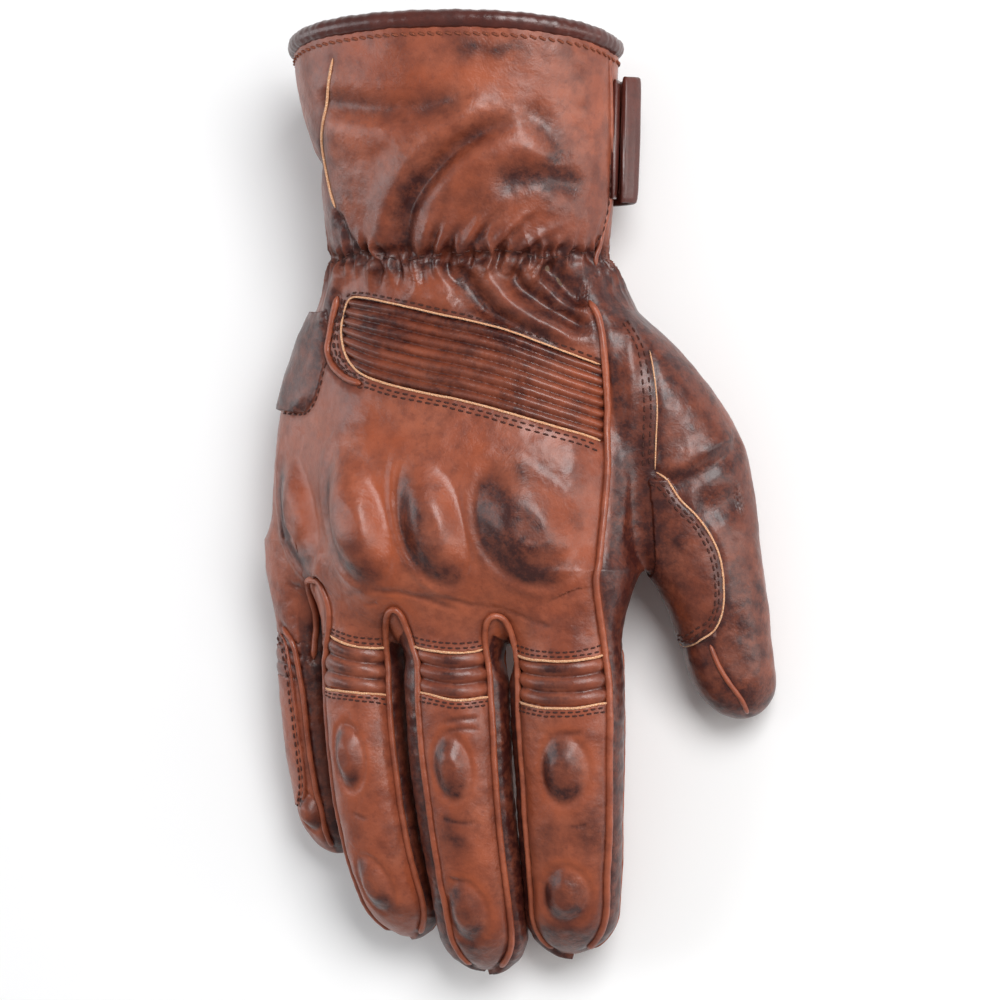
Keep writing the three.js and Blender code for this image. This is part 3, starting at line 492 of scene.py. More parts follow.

# ---- folds, padding, burnishing and painted shade -------------------------------------------------------
# Folds and creases: width, height (a crease is negative), and the line it follows.
FOLDS = [
    # on the cuff: the big arched fold and the flat one
    (3, -2.6, [(-25.6, 58, 48), (-24.3, 66.5, 49.3), (-21.9, 73.6, 52.2), (-19.5, 80.1, 54),
               (-13.9, 87.6, 56),
               (-5, 95.9, 57.2), (5, 101.5, 56.8), (14, 103, 54)]),
    (4.8, 2.3, [(-32, 58, 48), (-29.4, 67, 49.4), (-27.4, 76.4, 52.4), (-25, 82.9, 54.1),
                (-19.6, 90.9, 56.3),
                (-11, 99, 57.5), (-0.6, 106, 57.5), (10, 109, 56)]),
    (5.5, 1.6, [(-16, 66, 52), (-13, 78, 54), (-6, 88, 56), (4, 94, 56), (15, 96, 53.5), (28, 90, 46)]),
    (3.6, -1.4, [(-48, 111, 47), (-40, 109.4, 53), (-31, 108, 56), (-22, 107, 58.2), (-8, 108.4, 58.6),
                 (2, 111, 58)]),
    (6, 0.8, [(-48, 103, 47), (-33, 101, 55.4), (-16, 101.5, 57.5)]),
    (4, -1.4, [(4, 85, 55.4), (12.4, 87.6, 52.9), (20, 88, 48.6), (28.9, 84, 41)]),
    (4, -1.1, [(13, 108, 54), (20, 100, 50.5), (24, 91, 47.5)]),
    # on the yoke, from the wrist down to the seam at the thumb's side
    (3.2, -2.9, [(-8.4, 66.5, 49.7), (-3.8, 57.4, 47.8), (3.4, 49.6, 47.6), (13.1, 44, 46.2),
                 (23, 41, 43)]),
    (3, 2, [(-1.6, 66, 49.2), (3.8, 57.4, 46.9), (10.7, 50.8, 45.9), (19.8, 46, 43.5), (28.3, 42.6, 41.1)]),
    (2.4, -2.2, [(5, 65.5, 48), (10, 58.4, 45.5), (17.5, 52.8, 43.6), (25.6, 48, 41.7), (31, 45.6, 40.6)]),
    (2.6, 1.7, [(11.3, 64, 46), (16.5, 59, 43.2), (23.4, 53.4, 41.9), (30.5, 49.4, 40.5)]),
    (3.8, -3.4, [(14.5, 65.5, 44), (19.3, 60.5, 41.9), (24, 56.5, 41), (28.6, 55.4, 39)]),
    (5, 1.5, [(-22, 60, 48), (-15, 57, 48.4), (-8, 53, 48.6)]),
    (3, 1.6, [(-42.4, 66, 42.5), (-46.4, 59.7, 39.6), (-48.4, 54.1, 38.8), (-49, 46, 40)]),
    (2, -1.3, [(-44.4, 81, 45.4), (-41.3, 73.4, 45.6), (-39.1, 70.5, 46.2), (-33, 65.7, 47)]),
    (3, -1.4, [(-50, 97.4, 43.9), (-52, 93, 38), (-52.6, 92, 30)]),
    # below the knuckles
    (1.1, -0.5, [(-43.1, -28.7, 44.9), (-34, -25.4, 50.4), (-26, -25.8, 51.6), (-14.2, -28.6, 51.6),
                 (-3.4, -31.7, 49)]),
    (1, -0.4, [(-20.2, -26.6, 51.6), (-10, -27.6, 51.4), (-1.2, -30.2, 49.9), (7.5, -31.2, 46.8)]),
    (0.9, -0.35, [(-36, -30.5, 49.4), (-30, -29.4, 50)]),
    (1, -0.4, [(5.5, -31, 47), (12, -33.8, 46.8), (20, -35.8, 46.2)]),
    (1, -0.4, [(-66, -20, 28), (-62.6, -24.6, 30), (-58.6, -25, 31.6)]),
    (0.8, -0.4, [(-70.6, -27, 21), (-66.4, -29.5, 26), (-62.5, -28.5, 29)]),
    (0.8, -0.4, [(-70.6, -31, 20), (-66, -33.5, 25.6), (-61.5, -33, 28)]),
    # across the fingers
    (0.8, -0.4, [(-13, -62.6, 46.9), (-8, -61.6, 46.4), (-2, -61.2, 43.8)]),
    (0.7, -0.3, [(-12, -65.2, 46.6), (-7, -64.2, 46), (-2.4, -64.4, 43.6)]),
    (0.8, -0.35, [(12.5, -64.4, 43.4), (20, -65.5, 44.4), (28.6, -64.6, 42.6)]),
    (0.7, -0.3, [(14.5, -89.6, 40.2), (21, -91.2, 40.2), (28, -90.6, 37.8)]),
    (0.7, -0.3, [(-14.5, -89, 42.2), (-9, -90.6, 42.4), (-3.5, -90, 40.6)]),
    (0.7, -0.35, [(-14.5, -106, 37.4), (-9, -107.4, 37), (-3.4, -106, 35.6)]),
    (0.7, -0.3, [(-43.5, -88.4, 37.8), (-38.6, -90, 38), (-33.6, -89.6, 35.2)]),
    (0.8, -0.35, [(-45, -63.4, 40.2), (-40, -64, 40.8), (-34, -63.4, 38.6)]),
    # round the thumb's root
    (3.6, 1.3, [(46.5, 5.6, 34.1), (52, 8.4, 33.6), (57, 11, 32.2), (62.1, 14.2, 28.8), (66, 18, 22)]),
    (3, -1.5, [(47.4, 2.2, 33.6), (52, 4.4, 33), (57, 6.8, 31.9), (63.5, 11.2, 27.7), (65.9, 16, 17.4)]),
    (4.4, -1.3, [(55.6, -2.9, 31.4), (61, -2.4, 28.8), (68, -0.7, 22.1)]),
    # down the side of the hand, beside the long welt
    (2.2, 0.8, [(36, 56, 27), (38.8, 46.3, 34.9), (39.5, 26.9, 37.9), (37.4, 4.8, 36.7),
                (37, -17.3, 38.8)]),
]
# Pleats that start at the wrist's elastic, each with a valley to its thumb side.
PLEATS = [
    [(-36.9, 65.8, 45.7), (-36.9, 70.4, 47.2), (-38.5, 75.2, 47.7)],
    [(-32, 64, 47), (-31.7, 68.9, 48.6), (-32.4, 73.8, 49.9)],
    [(-16.9, 65.3, 49.6), (-15.9, 70.2, 51.8), (-13.5, 76.1, 53.5), (-10.2, 82.1, 54.9)],
    [(-12.6, 64.7, 49.5), (-11.3, 69.5, 51.6), (-8.7, 74.4, 53.1), (-5.2, 79.2, 54.1)],
    [(-5.5, 65.1, 49.6), (-3.7, 70, 51.6), (-0.4, 74.8, 52.6), (4.3, 79.7, 53.1), (9.4, 82.9, 52.6)],
    [(1.4, 64, 48.4), (3.7, 68.8, 50.1), (7.4, 73.1, 50.8), (12.7, 77.5, 50.2), (19, 80.8, 48.2)],
    [(7, 62.3, 46.8), (9.5, 66.6, 47.6), (13.7, 70.4, 47.8), (19.4, 73.7, 46), (25.2, 76, 42.2)],
    [(12.7, 59.5, 44.8), (15.4, 63.4, 44.4), (19.6, 66.2, 42.9), (24.4, 68.4, 39.8), (28.2, 70.3, 35)],
    [(-32.9, 66, 46.7), (-33.9, 59.6, 45.6), (-35.9, 56.3, 45)],
    [(-27.3, 66, 48.3), (-27, 60.9, 47.5), (-28.2, 57.6, 47.3)],
    [(-20.6, 66, 49.3), (-19.6, 61.3, 48.2), (-18.7, 58, 48)],
    [(-14, 66, 49.3), (-11.6, 61.3, 48.2), (-8, 58, 48)],
]
height = np.zeros(len(base))
dark = np.zeros(len(base))
warm = np.zeros(len(base))


def scatter(scale, shift):
    """Smooth noise between about -1 and 1, with features of that many millimetres."""
    offset = Vector((shift, shift * 1.7, shift * 0.6))
    return np.array([noise.noise(Vector(p) + offset) for p in (base / scale).tolist()]) * 1.4


broad, middle_noise, small = scatter(14, 3), scatter(5, 11), scatter(2.2, 7)

for width, rise, points in FOLDS:
    index, distance, share = near(spline(points), 3 * abs(width))
    taper = smooth(0, 0.2, share) * (1 - smooth(0.8, 1, share))
    fold = bump(distance, width) * taper
    height[index] += rise * fold
    # Painted shade darkens each crease, and a little painted light brightens each ridge.
    dark[index] += fold * (0.65 if rise < 0 else -0.08)
for points in PLEATS:
    for shift, width, rise in ((0, 1.5, 1.25), (2.3, 1.3, -1.25)):
        index, distance, share = near(spline(points) + [shift, -0.3 * shift, 0], 5)
        fold = bump(distance, width) * (1 - smooth(0.3, 1, share))
        height[index] += rise * fold
        # Painted shade darkens each pleat's valley, and a little painted light brightens its ridge.
        dark[index] += fold * (0.55 if rise < 0 else -0.1)
# The folds fade out before the flex panel's edge, so that its seam runs clean.
over_flex = (y > 10) & (y < 60) & (x > -44.5) & (x < welt_x(y)[0]) & (z > 30) & on["hand"]
height *= np.where(over_flex, smooth(-0.5, 4, y - flex_upper(x)[0]), 1)

# Gathers all round the wrist, by the elastic sewn inside it.
ELASTIC_Y = 67
GATHERS = 46
around = np.radians(cuff_angle)
gather = 1 - 2 * np.abs(np.sin(GATHERS / 2 * around + 1.8 * broad + 0.6 * middle_noise))
from_elastic = y - ELASTIC_Y
below_share = 0.15 + 0.5 * between(cuff_angle, 160, 372)
pull = bump(from_elastic + broad, 3.4) * 0.7 + bump(from_elastic, 9) * below_share
height += 0.9 * gather * pull * on["hand"]
height -= 1.2 * bump(from_elastic + 1.5 * broad, 1.8) * on["hand"]
# Painted shade over the gathered band at the elastic, darkest in the valleys between the gathers.
dark += (0.55 - 0.3 * gather) * bump(from_elastic + broad, 3.6) * on["hand"]

# Knuckle domes: centre x and y, half width, half length, height.
KNUCKLE_DOMES = [(14.5, -9, 14.5, 15.5, 4.6), (-12, -8.5, 10, 16, 4.8), (-34.6, -8, 10, 16.5, 4.8),
                 (-58, -6, 8, 15, 3.6)]
back = between(hand_angle, 5, 190, 6) * on["hand"]
domes = np.zeros(len(base))
for cx, cy, half_width, half_length, rise in KNUCKLE_DOMES:
    u = (x - cx + 0.22 * (y - cy)) / half_width
    v = np.where(y > cy, (y - cy) / (half_length * 1.35), (y - cy) / half_length)
    r = np.sqrt(u * u + v * v)
    domes = np.maximum(domes, rise * (1 - smooth(0.25, 1.02, r)))
    # Painted shade: the dark crescent on each dome's left and lower flank, away from the key light, and the
    # dark towards its lower left; partly burnish.
    facing = np.clip(smooth(0.0, 0.7, -u) + smooth(0.35, 0.9, -v), 0, 1) * back
    dark += 1.15 * bump(r - 0.7, 0.28) * facing * (1 - smooth(0, 14, y))
    dark += 0.5 * bump(r - 0.3, 0.25) * smooth(-0.5, 0.3, -u - v) * back
    warm += 0.8 * bump(r - 0.85, 0.3) * smooth(0.1, 0.7, u) * smooth(-0.9, 0, -v) * back
    domes += 0.45 * bump(r - 1.12, 0.11) * facing
height += domes * back
plateau = (1 - smooth(10, 22, y)) * smooth(-30, -20, y) * smooth(-68, -58, x) * (1 - smooth(24, 32, x))
height += 1.2 * plateau * back

# The ribbed flex panel on the back.
RIB_COUNT = 7
t = (y - rib_lower(x)[0]) / (rib_upper(x)[0] - rib_lower(x)[0])
in_flex = (y > flex_lower(x)[0]) & (y < flex_upper(x)[0]) & (x > -43.4) & (x < welt_x(y)[0]) & on["hand"]
in_flex &= between(hand_angle, 20, 160, 0.1) > 0.5
ridge = np.abs(np.sin(math.pi * RIB_COUNT * t))
height += np.where(in_flex, 1.35 * ridge ** 0.75 - 1.3, 0)
worn_top = smooth(-41, -34, x) * (1 - smooth(24, 31, x)) * smooth(0.4, 0.9, ridge) * (0.45 + 0.3 * broad)
# Painted shade in the grooves between the ribs; burnish on the worn rib tops.
dark += np.where(in_flex, 0.9 * (1 - ridge) ** 1.3 + worn_top, 0)

# The ribbed strips on the fingers.
in_strip = np.zeros(len(base), bool)
for name, (upper, lower) in STRIPS.items():
    low_angle, high_angle = BACKS[name]
    inside = on[name] & (between(digit_angle[name], low_angle, high_angle, 0.1) > 0.5)
    top, bottom = (track([(px, py) for px, py, _ in line])(x)[0] for line in (upper, lower))
    inside &= (y < top) & (y > bottom)
    ridge = np.abs(np.sin(3 * math.pi * (y - bottom) / (top - bottom)))
    rise = 0.5 if name == "little" else 1.15
    height += np.where(inside, rise * (ridge ** 0.8 - 0.9), 0)
    share = (digit_angle[name] - low_angle) / (high_angle - low_angle)
    rubbed = 0.75 * smooth(0.5, 0.9, ridge) * bump(share - 0.55, 0.22)
    # Painted shade in the grooves between the ribs; burnish where the ribs are rubbed.
    dark += np.where(inside, 0.8 * (1 - ridge) ** 1.5 + rubbed, 0)
    in_strip |= inside

# Domed pads on the finger backs: finger, x, y, half width, half length.
PADS = [("index", 21.6, -75.3, 6.4, 9), ("index", 19.1, -110.6, 6.4, 7.4), ("middle", -9.9, -75.1, 5, 8.6),
        ("middle", -9.6, -116, 5.6, 8), ("ring", -42, -72.8, 4.6, 8.8), ("ring", -37.8, -109, 4.8, 7.6),
        ("little", -62.6, -90, 3.6, 5)]
for name, px, py, half_width, half_length in PADS:
    across = digit_local(DIGITS[name], x, y, z)[0]
    spot = np.array([px, py, DIGITS[name]["track"](np.array([py]))[1][0] + 9.0])
    middle_u = digit_local(DIGITS[name], *spot)[0]
    u, v = (across - middle_u) / half_width, (y - py) / half_length
    r = np.sqrt(u * u + v * v)
    here = on[name] & (between(digit_angle[name], 15, 165, 4) > 0.5) & (r < 2)
    height += np.where(here, 1.9 * (1 - smooth(0.25, 1.0, r)) - 0.4 * bump(r - 1.08, 0.15), 0)
    # Painted shade in the dark crescent on each pad's left and lower side, partly burnish; the dark middle
    # is burnish.
    facing = np.clip(0.25 + smooth(-0.2, 0.6, -u) + smooth(0.2, 0.9, -v), 0, 1)
    dark += np.where(here, 0.95 * bump(r - 0.8, 0.24) * facing + 0.55 * (1 - smooth(0.5, 1, r)), 0)
    warm += np.where(here, 0.4 * bump(r - 1.3, 0.2), 0)

# The sides between a finger's back and its underside are darker, partly darker side leather and partly
# painted shade in the gaps between fingers, with fine cross creases.
for name, (low_angle, high_angle) in BACKS.items():
    side = np.maximum(between(digit_angle[name], high_angle, 212),
                      between(digit_angle[name], -32, low_angle))
    side *= on[name] * (1 - smooth(-40, -30, y))
    # Painted shade in the gaps between fingers, over darker side leather.
    dark += 0.95 * side
    height += side * (0.07 * np.sin(y * 1.3 + 3 * middle_noise + 1.5 * broad) - 0.2)
# The leather between two fingers bulges a little into the gap.
for name, degrees, bulge in (("index", 178, 1.7), ("middle", -6, 1.7), ("middle", 166, 0.9),
                             ("ring", -8, 0.9)):
    facing_gap = on[name] * between(digit_angle[name], degrees - 26, degrees + 26, 12)
    height += bulge * facing_gap * (1 - smooth(-52, -44, y))

# Burnished fingertips, thumb, wrist and side of the hand, and clearer leather on the two small fingers.
for name in DIGITS:
    tip = DIGITS[name]["tip"]
    dark += 0.35 * on[name] * (1 - smooth(tip + 2, tip + 16, y))
dark += 0.22 * smooth(0.1, 0.9, broad)
warm += 0.45 * smooth(0.1, 0.9, -broad)
thumb_gap = digit_distance(DIGITS["thumb"], x, y, z) - hand_distance(x, y, z)
thumb_share = 1 - smooth(-7, 5, thumb_gap)
dark += 0.62 * thumb_share
dark += 0.34 * smooth(106, 84, y) * smooth(34, 50, y) * (1 - 0.6 * thumb_share)
dark -= 0.3 * (on["ring"] | on["little"]) * (1 - smooth(-60, -52, y))
dark -= 0.35 * bump(y + 28, 6) * smooth(-60, -52, x) * (1 - smooth(20, 30, x))
beside_welt = (1 - thumb_share) * smooth(0.5, 2.5, x - welt_x(y)[0])
dark += 1.15 * beside_welt * (1 - smooth(60, 68, y)) * smooth(-48, -40, y) * between(hand_angle, -50, 60, 8)

# Marks that burnishing left on the upper side, and one of painted shade in a deep recess: centre x and y,
# half width, half length, how dark or warm.
DARK_MARKS = [
    (5, 123.5, 13, 2.6, 0.75), (24, 116, 11, 11, 0.35), (20, 88, 9, 6, 0.35), (-48.6, 97, 3.6, 8, 0.6),
    (-46.5, 76, 4, 7, 0.6), (-20, 95, 16, 11, 0.18), (-48.8, 58, 4, 7, 0.5), (14, 48, 15, 6, 0.5),
    # The mark at (21.5, 57.5) on the next line is painted shade in a deep recess, not burnish.
    (-34, 27, 11, 5, 0.3), (21.5, 57.5, 4, 4, 1.0), (30, 60, 5, 6, 0.8),
    (20, 10.5, 9, 6, 0.4), (-63.7, -1, 3.6, 12, 0.85), (-17, -9, 4, 11, 0.8), (12.5, -6, 7.5, 13, 1.0),
    (26.4, -6, 5, 11, 0.4), (25.5, -33, 6, 5, 0.45), (-32, -25.5, 9, 4, 0.25), (-41.6, -92, 4, 4.6, 0.7),
    (-11, -94.5, 4.2, 4.8, 0.7), (16, -94, 2.6, 4.2, 0.6), (27, -92.5, 3, 4.6, 0.6),
    (-34, -117, 9, 3.4, 0.7),
    (-10.5, -128, 9, 4, 0.7), (16.5, -123, 10, 4.4, 0.7), (56, 33, 8, 11, 0.3), (66, 12, 7, 11, 0.35),
    (69, -33, 5, 13, 0.4),
]
WARM_MARKS = [
    (-17.5, 60, 9, 5, 0.9), (28, 51, 4, 3, 0.6), (-51, 27, 7, 4, 0.8), (-58.7, 18, 6, 5, 0.5),
    (-1, -29, 12, 4, 0.6),
    (-26.3, -29, 11, 4.6, 0.6), (-52, 0, 3.4, 12, 0.8), (-24, -2, 5.4, 12, 1.0), (2, -6, 3, 12, 0.7),
    (30, 0, 4, 20, 0.4),
    (14, 30, 14, 4, 0.4), (-10, 116, 14, 4, 0.5), (-2, 82, 5, 9, 0.9), (-28, 92, 8, 10, 0.4),
]
above = smooth(-0.1, 0.3, normals[:, 2])
for marks, tint in ((DARK_MARKS, dark), (WARM_MARKS, warm)):
    for cx, cy, half_width, half_length, amount in marks:
        away = ((x - cx) / half_width) ** 2 + ((y - cy) / half_length) ** 2
        tint += amount * np.exp(-away) * above * (0.85 + 0.4 * middle_noise)

# Patches that lie on the leather.
def inside_plan(outline):
    """Whether each point is inside an outline in plan."""
    within = np.zeros(len(base), bool)
    for (ax, ay), (bx, by) in zip(outline, outline[1:] + outline[:1]):
        crossing = (ay > y) != (by > y)
        within ^= crossing & (x < ax + (y - ay) / ((by - ay) or 1e-9) * (bx - ax))
    return within


patch_line = track([(py, px) for px, py, _ in THUMB_PATCH[1:-3]])
in_thumb_patch = on["thumb"] & (y < 5) & (y > -39 - 0.25 * (60 - x)) & (x < patch_line(y)[0]) & (z > 8)
height += 0.7 * in_thumb_patch
little_line = track([(py, px) for px, py, _ in LITTLE_PATCH[1:-1]])
in_little_patch = on["little"] & (y < -42) & (y > -88) & (x < little_line(y)[0]) & (z > 6)
height += 0.5 * in_little_patch
edge_line = track([(py, px) for px, py, _ in EDGE_PATCH[:-2]])
in_edge_patch = on["hand"] & (y > 24 + 0.12 * np.abs(x + 60)) & (y < 52) & (x < edge_line(y)[0])
in_edge_patch &= hand_angle < 200
height += np.where(in_edge_patch, 0.5 + 1.1 * smooth(0, 5, edge_line(y)[0] - x), 0)
dark += 0.8 * in_edge_patch
heel_path = spline([(px, py, 8.0) for px, py in HEEL + HEEL[:1]])
in_heel = inside_plan([(px, py) for px, py, _ in heel_path[::4].tolist()]) & (normals[:, 2] < -0.3)
heel_index = np.flatnonzero(in_heel)
from_edge = np.sqrt(((base[heel_index, None, :2] - heel_path[None, :, :2]) ** 2).sum(2)).min(1)
height[heel_index] += 7.5 * smooth(0, 7, from_edge)

# Seams press into the leather.
for path in welts.values():
    index, distance, _ = near(path, 5)
    height[index] -= 0.75 * bump(distance, 1.7)
    dark[index] += 0.55 * bump(distance, 2.2)
for line in (CUFF_SEAM, CUFF_SIDE, THUMB_SEAM, THUMB_PATCH, THUMB_TIP, LITTLE_PATCH, EDGE_PATCH, FLEX_UPPER,
             FLEX_LOWER):
    index, distance, _ = near(spline(line), 4)
    height[index] -= 0.35 * bump(distance, 1.2)
    dark[index] += 0.35 * bump(distance, 1.8)

height += 0.28 * broad + 0.12 * middle_noise + 0.05 * small
dark += 0.18 * smooth(0.2, 0.9, middle_noise)
skin = base + normals * height[:, None]
FLOOR_Z = 0.25
skin[:, 2] = np.maximum(skin[:, 2], FLOOR_Z)


def cuff_top(degrees):
    """Where the cuff's mouth is: it rises towards its middle and dips below."""
    up = np.sin(np.radians(degrees))
    return CUFF_TOP + CUFF_TOP_RISE * np.maximum(up, 0) - CUFF_TOP_DIP * np.maximum(-up, 0)


mouth = cuff_top(cuff_angle)
beyond = skin[:, 1] > mouth
skin[beyond, 1] = mouth[beyond]
quads = quads[~beyond[quads].all(1)]
skin_normals = mesh_normals(skin, quads)
dark, warm = np.clip(dark, 0, 1), np.clip(warm, 0, 1)
print("skin", len(skin), "points", len(quads), "quads")


# ---- pieces of skin: a zone rides as one or lies across a joint, and holds several panels -------------
def to_frame(points):
    return (np.asarray(points) + SHIFT) * MM


THUMB_AXIS = np.array([0.16, -0.987, 0])
THUMB_JOINT = np.array([57.5, -27, 14])
DIAGONAL = np.array([math.sqrt(0.5), -math.sqrt(0.5), 0])
THUMB_ROOT = np.array([36, -16, 20])
WRIST_FROM, WRIST_TO = 52, 78
FINGERS_FROM = -33
ZONES = {  # zone: the body it rides on, or the two it bends between and where
    "cuff": ("cuff",),
    "wrist": ("hand", "cuff", (0, WRIST_FROM, 27), (0, WRIST_TO, 27)),
    "hand": ("hand",),
    "thumb_base": ("hand", "thumb_lower", THUMB_ROOT, THUMB_ROOT + 10 * DIAGONAL),
    "thumb_end": ("thumb_lower", "thumb_tip", THUMB_JOINT - 5 * THUMB_AXIS, THUMB_JOINT + 7 * THUMB_AXIS),
}
FINGER_ZONES = {  # start and end of the bends at the three joints, and where the last zone begins
    "index": ((FINGERS_FROM, -50), (-50.5, -69.5), (-88, -110), -79),
    "middle": ((FINGERS_FROM, -50), (-51, -71), (-93, -115), -82),
    "ring": ((FINGERS_FROM, -49), (-49.5, -68.5), (-88, -110), -78),
    "little": ((FINGERS_FROM, -45.5), (-46.5, -62.5), (-70, -86), -66),
}
for name, (root, knuckle, last, _) in FINGER_ZONES.items():
    bodies = ("hand", f"{name}_proximal", f"{name}_middle", f"{name}_distal")
    for k, (part, (start, end)) in enumerate(zip(("base", "mid", "end"), (root, knuckle, last))):
        ZONES[f"{name}_{part}"] = (bodies[k], bodies[k + 1], (0, start, 0), (0, end, 0))
ZONES["strap"] = ("strap",)
ZONE_NAMES = list(ZONES)


def place(piece, zone):
    """Rides the piece on the zone's body, or, for a zone across a joint, bakes its place into its points.
    """
    rule = ZONES[zone]
    if len(rule) == 1:
        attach(piece, rule[0])
    else:
        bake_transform(piece)


finger = 1 + np.argmin([digit_distance(DIGITS[n], x, y, z) for n in FINGERS], 0)
first = quads[:, 0]
qx, qy = x[quads].mean(1), y[quads].mean(1)
past_root = (qx - THUMB_ROOT[0]) * DIAGONAL[0] + (qy - THUMB_ROOT[1]) * DIAGONAL[1]
along_thumb = (qx - THUMB_JOINT[0]) * THUMB_AXIS[0] + (qy - THUMB_JOINT[1]) * THUMB_AXIS[1]
zone = np.full(len(quads), ZONE_NAMES.index("hand"))
zone[qy > WRIST_FROM] = ZONE_NAMES.index("wrist")
zone[qy > WRIST_TO] = ZONE_NAMES.index("cuff")
for k, name in enumerate(FINGERS):
    mine = (qy < FINGERS_FROM) & (finger[first] == k + 1)
    zone[mine] = ZONE_NAMES.index(f"{name}_base")
    zone[mine & (qy < FINGER_ZONES[name][1][0] + 0.5)] = ZONE_NAMES.index(f"{name}_mid")
    zone[mine & (qy < FINGER_ZONES[name][3])] = ZONE_NAMES.index(f"{name}_end")
thumb = on["thumb"][first] & (past_root > 0)
zone[thumb] = ZONE_NAMES.index("thumb_base")
zone[thumb & (along_thumb > -5.5)] = ZONE_NAMES.index("thumb_end")

back_side = skin_normals[quads][:, :, 2].mean(1) > 0
angle = hand_angle[first]
seam_angle = track([(122, 126), (108, 136), (97, 142), (87, 147), (73, 146), (60, 140)])(qy)[0]
top_of_cuff = ((cuff_angle[first] < seam_angle) | (cuff_angle[first] > 352))
inside_flex = in_flex[quads].mean(1) > 0.5
inside_strip = in_strip[quads].mean(1) > 0.5
panel = np.full(len(quads), "", dtype=object)


def label(mask, name):
    panel[mask] = name


def in_zone(name):
    return zone == ZONE_NAMES.index(name)


in_hand = in_zone("hand")
on_hand_back = in_hand & (angle > 24) & (angle < 170)
label(in_hand, "palm_panel")
label(on_hand_back, "knuckle_panel")
label(on_hand_back & (qy > flex_upper(qx)[0]), "back_yoke")
label(in_hand & (angle > 136) & (angle < 172) & (qy > 32) & (qx < -43.4), "back_edge_panel")
label(in_hand & inside_flex, "back_flex_panel")
label(in_hand & ((angle > 330) | (angle < 60)) & (qx > welt_x(qy)[0]), "index_side_panel")
label(in_hand & in_edge_patch[first], "edge_slider")
label(in_hand & in_heel[first], "palm_heel_pad")
label(in_hand & on["thumb"][first] & back_side, "thumb_root_back")
label(in_hand & on["thumb"][first] & ~back_side, "thumb_root_under")
for name in ("wrist", "cuff"):
    label(in_zone(name) & top_of_cuff, f"{name}_back_panel")
    label(in_zone(name) & ~top_of_cuff, f"{name}_palm_panel")
for part in ("base", "end"):
    label(in_zone(f"thumb_{part}") & back_side, f"thumb_{part}_back")
    label(in_zone(f"thumb_{part}") & ~back_side, f"thumb_{part}_under")
    label(in_zone(f"thumb_{part}") & in_thumb_patch[first], f"thumb_{part}_patch")
for name, (low_angle, high_angle) in BACKS.items():
    degrees = digit_angle[name][first]
    on_back = (degrees > low_angle) & (degrees < high_angle)
    for part in ("base", "mid", "end"):
        label(in_zone(f"{name}_{part}") & on_back, f"{name}_{part}_back")
        label(in_zone(f"{name}_{part}") & ~on_back, f"{name}_{part}_under")
    label(in_zone(f"{name}_base") & inside_strip, f"{name}_flex_strip_skin")

STANDS_FOR = {name: [name] for name in (  # piece: the CAD nodes that it stands for
    "palm_panel", "back_yoke", "back_edge_panel", "back_flex_panel", "index_side_panel", "edge_slider",
    "palm_heel_pad", "thumb_root_back", "thumb_root_under", "cuff_back_panel", "cuff_palm_panel")}
STANDS_FOR.update({
    "knuckle_panel": ["knuckle_panel", "knuckle_guard"], "wrist_back_panel": ["wrist_elastic"],
    "thumb_base_back": ["thumb_lower_back"], "thumb_base_under": ["thumb_lower_under"],
    "thumb_base_patch": ["thumb_grip_patch"], "thumb_end_back": ["thumb_tip_back"],
    "thumb_end_under": ["thumb_tip_under"],
})
for name in FINGERS:
    STANDS_FOR[f"{name}_flex_strip_skin"] = [f"{name}_flex_strip"]
    STANDS_FOR[f"{name}_base_under"] = [f"{name}_proximal_under"]
    STANDS_FOR[f"{name}_mid_back"] = [f"{name}_middle_back", f"{name}_middle_pad"]
    STANDS_FOR[f"{name}_mid_under"] = [f"{name}_middle_under"]
    STANDS_FOR[f"{name}_end_back"] = [f"{name}_distal_back", f"{name}_distal_pad"]
    STANDS_FOR[f"{name}_end_under"] = [f"{name}_distal_under"]
PADDED = {"palm_heel_pad": 0.7, "knuckle_panel": 0.5}
for name in FINGERS:
    PADDED[f"{name}_mid_back"] = PADDED[f"{name}_end_back"] = 0.5


# ---- materials ---------------------------------------------------------------------------------------
def rgb(red, green, blue):
    """A linear colour from the usual 0 to 255 screen values."""
    return tuple((c / 255 / 12.92) if c <= 10 else ((c / 255 + 0.055) / 1.055) ** 2.4
                 for c in (red, green, blue)) + (1,)


